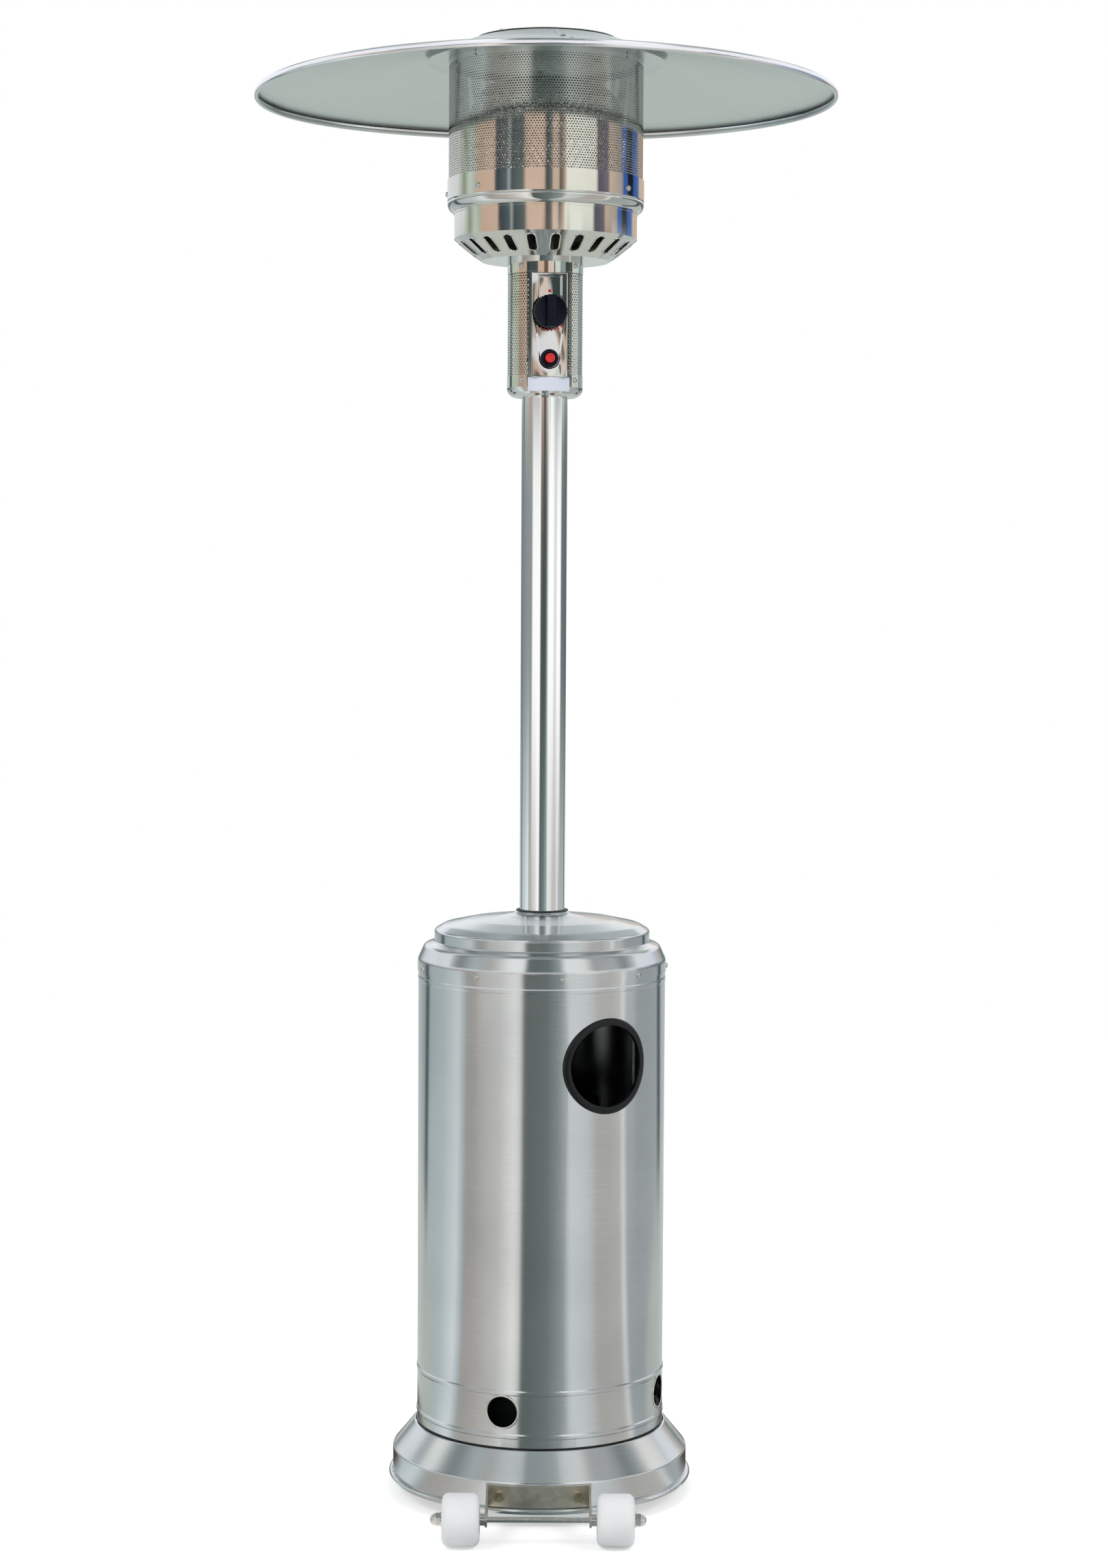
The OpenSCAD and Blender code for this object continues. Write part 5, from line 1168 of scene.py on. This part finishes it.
def slot_tree():
    """A bead round a slot, set round the cone."""
    tree, given = new_geometry_tree("slot lips", [
        ("Count", "Int"), ("Length", "Float"), ("Width", "Float"), ("Bead", "Float"), ("Radius", "Float"),
        ("Height", "Float"), ("Lean", "Float"), ("First Turn", "Float"), ("Finish", "Material")])
    outline = put(tree, "GeometryNodeCurvePrimitiveQuadrilateral", {"Width": given["Width"],
                                                                   "Height": given["Length"]})
    end_r = put(tree, MATH, (given["Width"], ROUND_SHARE), operation="MULTIPLY")
    rounded = put(tree, "GeometryNodeFilletCurve", {"Curve": outline, "Radius": end_r, "Count": 7},
                  mode="POLY")
    bead = put(tree, "GeometryNodeCurvePrimitiveCircle", {"Resolution": 8, "Radius": given["Bead"]})
    lip = put(tree, "GeometryNodeCurveToMesh", {"Curve": rounded, "Profile Curve": bead})
    index = put(tree, "GeometryNodeInputIndex")
    circles = put(tree, MATH, (index, math.tau), operation="MULTIPLY")
    share = put(tree, MATH, (circles, given["Count"]), operation="DIVIDE")
    turn = put(tree, MATH, (share, given["First Turn"]), operation="ADD")
    spot = round_the_axis(tree, given["Radius"], turn, given["Height"])
    points = put(tree, "GeometryNodePoints", {"Count": given["Count"], "Position": spot})
    leaning = put(tree, MATH, (given["Lean"], -1.0), operation="MULTIPLY")
    facing = put(tree, "ShaderNodeCombineXYZ", {"X": leaning, "Z": turn})
    placed = put(tree, "GeometryNodeInstanceOnPoints", {
        "Points": points, "Instance": lip, "Rotation": facing})
    finish_tree(tree, placed, given["Finish"])
    return tree


bowl_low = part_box("burner_bowl")[0].z
bowl_r = radius_of("burner_bowl")
lean = math.atan2(CONE_H, bowl_r - BOWL_FLOOR_R)
lips = grown(slot_tree(), {
    "Count": SLOTS, "Length": SLOT_L + LIP_R, "Width": SLOT_W + LIP_R, "Bead": LIP_R,
    "Radius": BOWL_FLOOR_R + (bowl_r - BOWL_FLOOR_R) * SLOT_MID_SHARE,
    "Height": bowl_low + CONE_H * SLOT_MID_SHARE, "Lean": lean, "First Turn": HEAD_A, "Finish": polished})
show("slot_lips", lips, "frame")
print("lip faces", len(lips.polygons))

# %% [markdown]
# ## The band of the burner
#
# Bowl and band meet in a rolled step. Pressed from one sheet, it has no sharp edges, so its outline is a
# smooth curve through a few points that is turned round the axis: a soft shoulder, a shallow crease, and
# then the upright wall that carries the screen. The points are shares of the step's width and height. A
# pair of points close together beside each bend keeps the smooth shading of the wall from tilting.

# %% Burner band
BAND_SHEET = 1.0 * MM
BAND_LAP = 3.0 * MM
STEP_H = 13.0 * MM
CREASE = 0.4 * MM

low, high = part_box("burner_band")
band_r = radius_of("burner_band")
low_r = radius_of("burner_bowl") + SLACK + BAND_SHEET
foot = low.z + BAND_LAP
out = band_r - low_r
step_line = smooth_curve([(low_r, foot), (low_r + 0.26 * out, foot + 0.06 * STEP_H),
                          (low_r + 0.70 * out, foot + 0.34 * STEP_H),
                          (band_r - 0.06 * out, foot + 0.72 * STEP_H), (band_r, foot + STEP_H),
                          (band_r - 0.07 * out, foot + 1.14 * STEP_H), (band_r, foot + 1.28 * STEP_H)], 4)
band_line = [(low_r, low.z), (low_r, foot - CREASE), *step_line,
             (band_r, foot + 1.28 * STEP_H + CREASE), (band_r, high.z - CREASE), (band_r, high.z)]
band = show("burner_band_rolled", turned(thick(band_line, BAND_SHEET), 192), "frame", 50, polished)
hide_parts("burner_band")
print("band outline points", len(band_line))

# %% [markdown]
# ## The reflector
#
# Three aluminium panels make the dish. Their stiff edge is an upright flange that ends in a rolled hem, and
# the thin sheet between is a soft curve that droops a few millimetres towards both sides. Each panel is the
# same outline, turned over its third of the circle, and then bent by the droop. The outline's points are
# shares of the dish's radius and height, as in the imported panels. Strips with domed screws cover the seams.

# %% Reflector panels
DISH_SHEET = 0.8 * MM
HEM_R = 3.0 * MM
FLANGE_H = 11 * MM
FLANGE_LEAN = 0.35 * MM
FLANGE_BEND = 2.5 * MM
DISH_H = 85 * MM
DISH_IN_SHARE = 0.14
DISH_SHARES = [(0.985, 0.134), (0.969, 0.14), (0.923, 0.17), (0.807, 0.265), (0.692, 0.39), (0.577, 0.512),
               (0.461, 0.647), (0.346, 0.8), (0.25, 0.965), (0.215, 0.99)]
DROOP = 7 * MM
DROOP_TO_LEFT = 2 * MM
SEAM_TURN = 7
PANELS = 3
PANEL_GAP = 0.03

DISH_R = max(v.co.xy.length for v in NODES["reflector_panel_1"].data.vertices)
RIM_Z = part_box("reflector_panel_1")[0].z


def drooped(mesh):
    """Bends a mesh down towards the left and the right, as the thin sheet hangs."""
    for vert in mesh.vertices:
        side = vert.co.x / DISH_R
        vert.co.z -= (DROOP - DROOP_TO_LEFT * side) * side * side
    return mesh


hem = arc((DISH_R - HEM_R, RIM_Z + HEM_R), HEM_R, range(-255, 1, 15))
flange_out = DISH_R - FLANGE_LEAN
bend = arc((flange_out - FLANGE_BEND, RIM_Z + FLANGE_H - FLANGE_BEND), FLANGE_BEND, (0, 30, 60, 85))
skin = smooth_curve([(share * DISH_R, RIM_Z + up * DISH_H) for share, up in DISH_SHARES], 4)
dish_line = [*hem, *bend, *skin, (DISH_IN_SHARE * DISH_R, RIM_Z + DISH_H - DISH_SHEET)]
for i in range(PANELS):
    first = SEAM_TURN + 360 / PANELS * i + PANEL_GAP / 2
    mesh = drooped(turned(thick(dish_line, DISH_SHEET), 96, (first, first + 360 / PANELS - PANEL_GAP)))
    panel = show(f"reflector_sheet_{i + 1}", mesh, "frame", 50, dish_aluminium)
    # The hem and the outer flange take the lighter edge metal, a painted highlight along the rim.
    mesh.materials.append(rim_aluminium_painted_light)
    for face in mesh.polygons:
        face.material_index = int(face.center.xy.length > flange_out - FLANGE_BEND / 2)
    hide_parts(f"reflector_panel_{i + 1}")
print("reflector radius", round(DISH_R / MM, 1), "rim at", round(RIM_Z / MM, 1))

# %% Seam strips with their screws
STRIP_SWEEP = 3.0
STRIP_LIFT = 1.1 * DISH_SHEET
STRIP_SHARES = (0.25, 0.96)
STRIP_SCREWS = (0.461, 0.692)
HEAD_R = 4.2 * MM
HEAD_H = 2.4 * MM


def skin_height(share):
    """Height of the upper face of the dish at a share of its radius."""
    radius = share * DISH_R
    for outer, inner in zip(skin, skin[1:]):
        if inner[0] <= radius <= outer[0]:
            return inner[1] + (outer[1] - inner[1]) * (radius - inner[0]) / (outer[0] - inner[0])
    return skin[-1][1]


def screw_head(radius, height):
    """Mesh of a domed head that stands on the vertical axis."""
    rise = [(radius * math.cos(math.radians(a)), height * math.sin(math.radians(a))) for a in (20, 45, 70)]
    return turned([(0, 0), (radius, 0), *rise, (0, height)], 24)


strip_line = [(p[0], p[1] + STRIP_LIFT) for p in skin
              if STRIP_SHARES[0] * DISH_R <= p[0] <= STRIP_SHARES[1] * DISH_R]
joined = bmesh.new()
for i in range(PANELS):
    middle = SEAM_TURN + 360 / PANELS * i
    joined.from_mesh(turned(thick(strip_line, DISH_SHEET), 6,
                            (middle - STRIP_SWEEP / 2, middle + STRIP_SWEEP / 2)))
    for share in STRIP_SCREWS:
        head = screw_head(HEAD_R, HEAD_H)
        turn = Matrix.Rotation(math.radians(middle), 4, "Z")
        head.transform(turn @ Matrix.Translation((0, -share * DISH_R, skin_height(share) + DISH_SHEET)))
        joined.from_mesh(head)
strips_mesh = mesh_of(joined, "seam strips")
strips = show("seam_strips_bent", drooped(strips_mesh), "frame", 45, dish_aluminium)
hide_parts("seam_strips")
print("strip faces", len(strips_mesh.polygons))

# %% [markdown]
# ## Rings on the housing wall
#
# The access port has a thick rubber trim, and each vent hole has a raised bright lip. Both are rings that
# lie on a round wall. A ring is built from its cross-section, as distances from the middle of the hole and
# out of the wall, and each point is then set on the cylinder that lies that far out.

# %% Port trim and vent lips
PORT_TURN = 32
VENT_TURN = -17
VENTS = 4
PORT_R = 60 * MM
TRIM_R = 71 * MM
CORE_R = 62.8 * MM
TRIM_OUT = 3.2 * MM
TRIM_IN = 3.8 * MM
TRIM_NARROW = 2 * MM
WALL_R = 187.3 * MM
WALL_SHEET = 0.8 * MM
VENT_R = 23 * MM
VENT_UP = 55 * MM
VENT_LIP = 1.6 * MM


def wall_ring(section, wall_r, turn, height, steps=96):
    """Mesh of a ring on a round wall. The section holds distances from its middle and out of the wall."""
    work = bmesh.new()
    rings = []
    for i in range(steps):
        a = math.tau * i / steps
        ring = []
        for far, out in section:
            x = far * math.sin(a)
            ring.append(work.verts.new((x, -math.sqrt((wall_r + out) ** 2 - x * x), far * math.cos(a))))
        rings.append(ring)
    bridge(work, rings)
    bmesh.ops.recalc_face_normals(work, faces=work.faces)
    mesh = mesh_of(work, "wall ring")
    mesh.transform(Matrix.Translation((0, 0, height)) @ Matrix.Rotation(math.radians(turn), 4, "Z"))
    return mesh


trim_section = [(PORT_R, -TRIM_IN), (PORT_R, TRIM_OUT * 0.55), (PORT_R + 0.8 * MM, TRIM_OUT * 0.9),
                (PORT_R + 2.5 * MM, TRIM_OUT), (TRIM_R - 3.2 * MM, TRIM_OUT * 0.95),
                (TRIM_R - 0.9 * MM, TRIM_OUT * 0.62), (TRIM_R, SLACK), (CORE_R, SLACK),
                (CORE_R, -WALL_SHEET - SLACK), (TRIM_R - TRIM_NARROW, -WALL_SHEET - SLACK),
                (TRIM_R - TRIM_NARROW, -TRIM_IN)]
trim = show("port_trim_moulded", wall_ring(trim_section, WALL_R, PORT_TURN, mid_height("port_trim")),
            "housing", 50, trim_rubber)
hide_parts("port_trim")
bead = arc((VENT_R + VENT_LIP, 0), VENT_LIP, range(0, 360, 45))
vent_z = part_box("tank_housing")[0].z + VENT_UP
for i in range(VENTS):
    ring = wall_ring(bead, WALL_R, VENT_TURN + 360 / VENTS * i, vent_z, 64)
    lip = show(f"vent_lip_{i + 1}", ring, "housing", 60, bright_zinc)
print("rings on the wall:", 1 + VENTS)

# %% [markdown]
# ## Painted shadow line of the housing
#
# The cut edge of the housing stands on the ledge of the base. A thin black ring round it there is painted
# shade, a dark piece that draws the shadow line where the two meet.

# %% Painted shadow strip
SHADOW_STRIP_T = 0.9 * MM
SHADOW_STRIP_H = 2.2 * MM
SHADOW_STRIP_UP = 0.05 * MM

shadow_strip_r = WALL_R + SLACK
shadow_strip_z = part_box("tank_housing")[0].z + SHADOW_STRIP_UP
section = [(shadow_strip_r, shadow_strip_z), (shadow_strip_r + SHADOW_STRIP_T, shadow_strip_z), (shadow_strip_r + SHADOW_STRIP_T, shadow_strip_z + SHADOW_STRIP_H * 0.8),
           (shadow_strip_r + SHADOW_STRIP_T * 0.5, shadow_strip_z + SHADOW_STRIP_H), (shadow_strip_r, shadow_strip_z + SHADOW_STRIP_H)]
# The black ring is painted shade: it draws the shadow gap where the housing meets the base.
strip = show("housing_painted_shadow_strip", turned(section, 192), "housing", 50, trim_rubber)
print("painted shadow strip from", round(shadow_strip_z / MM, 1), "mm")
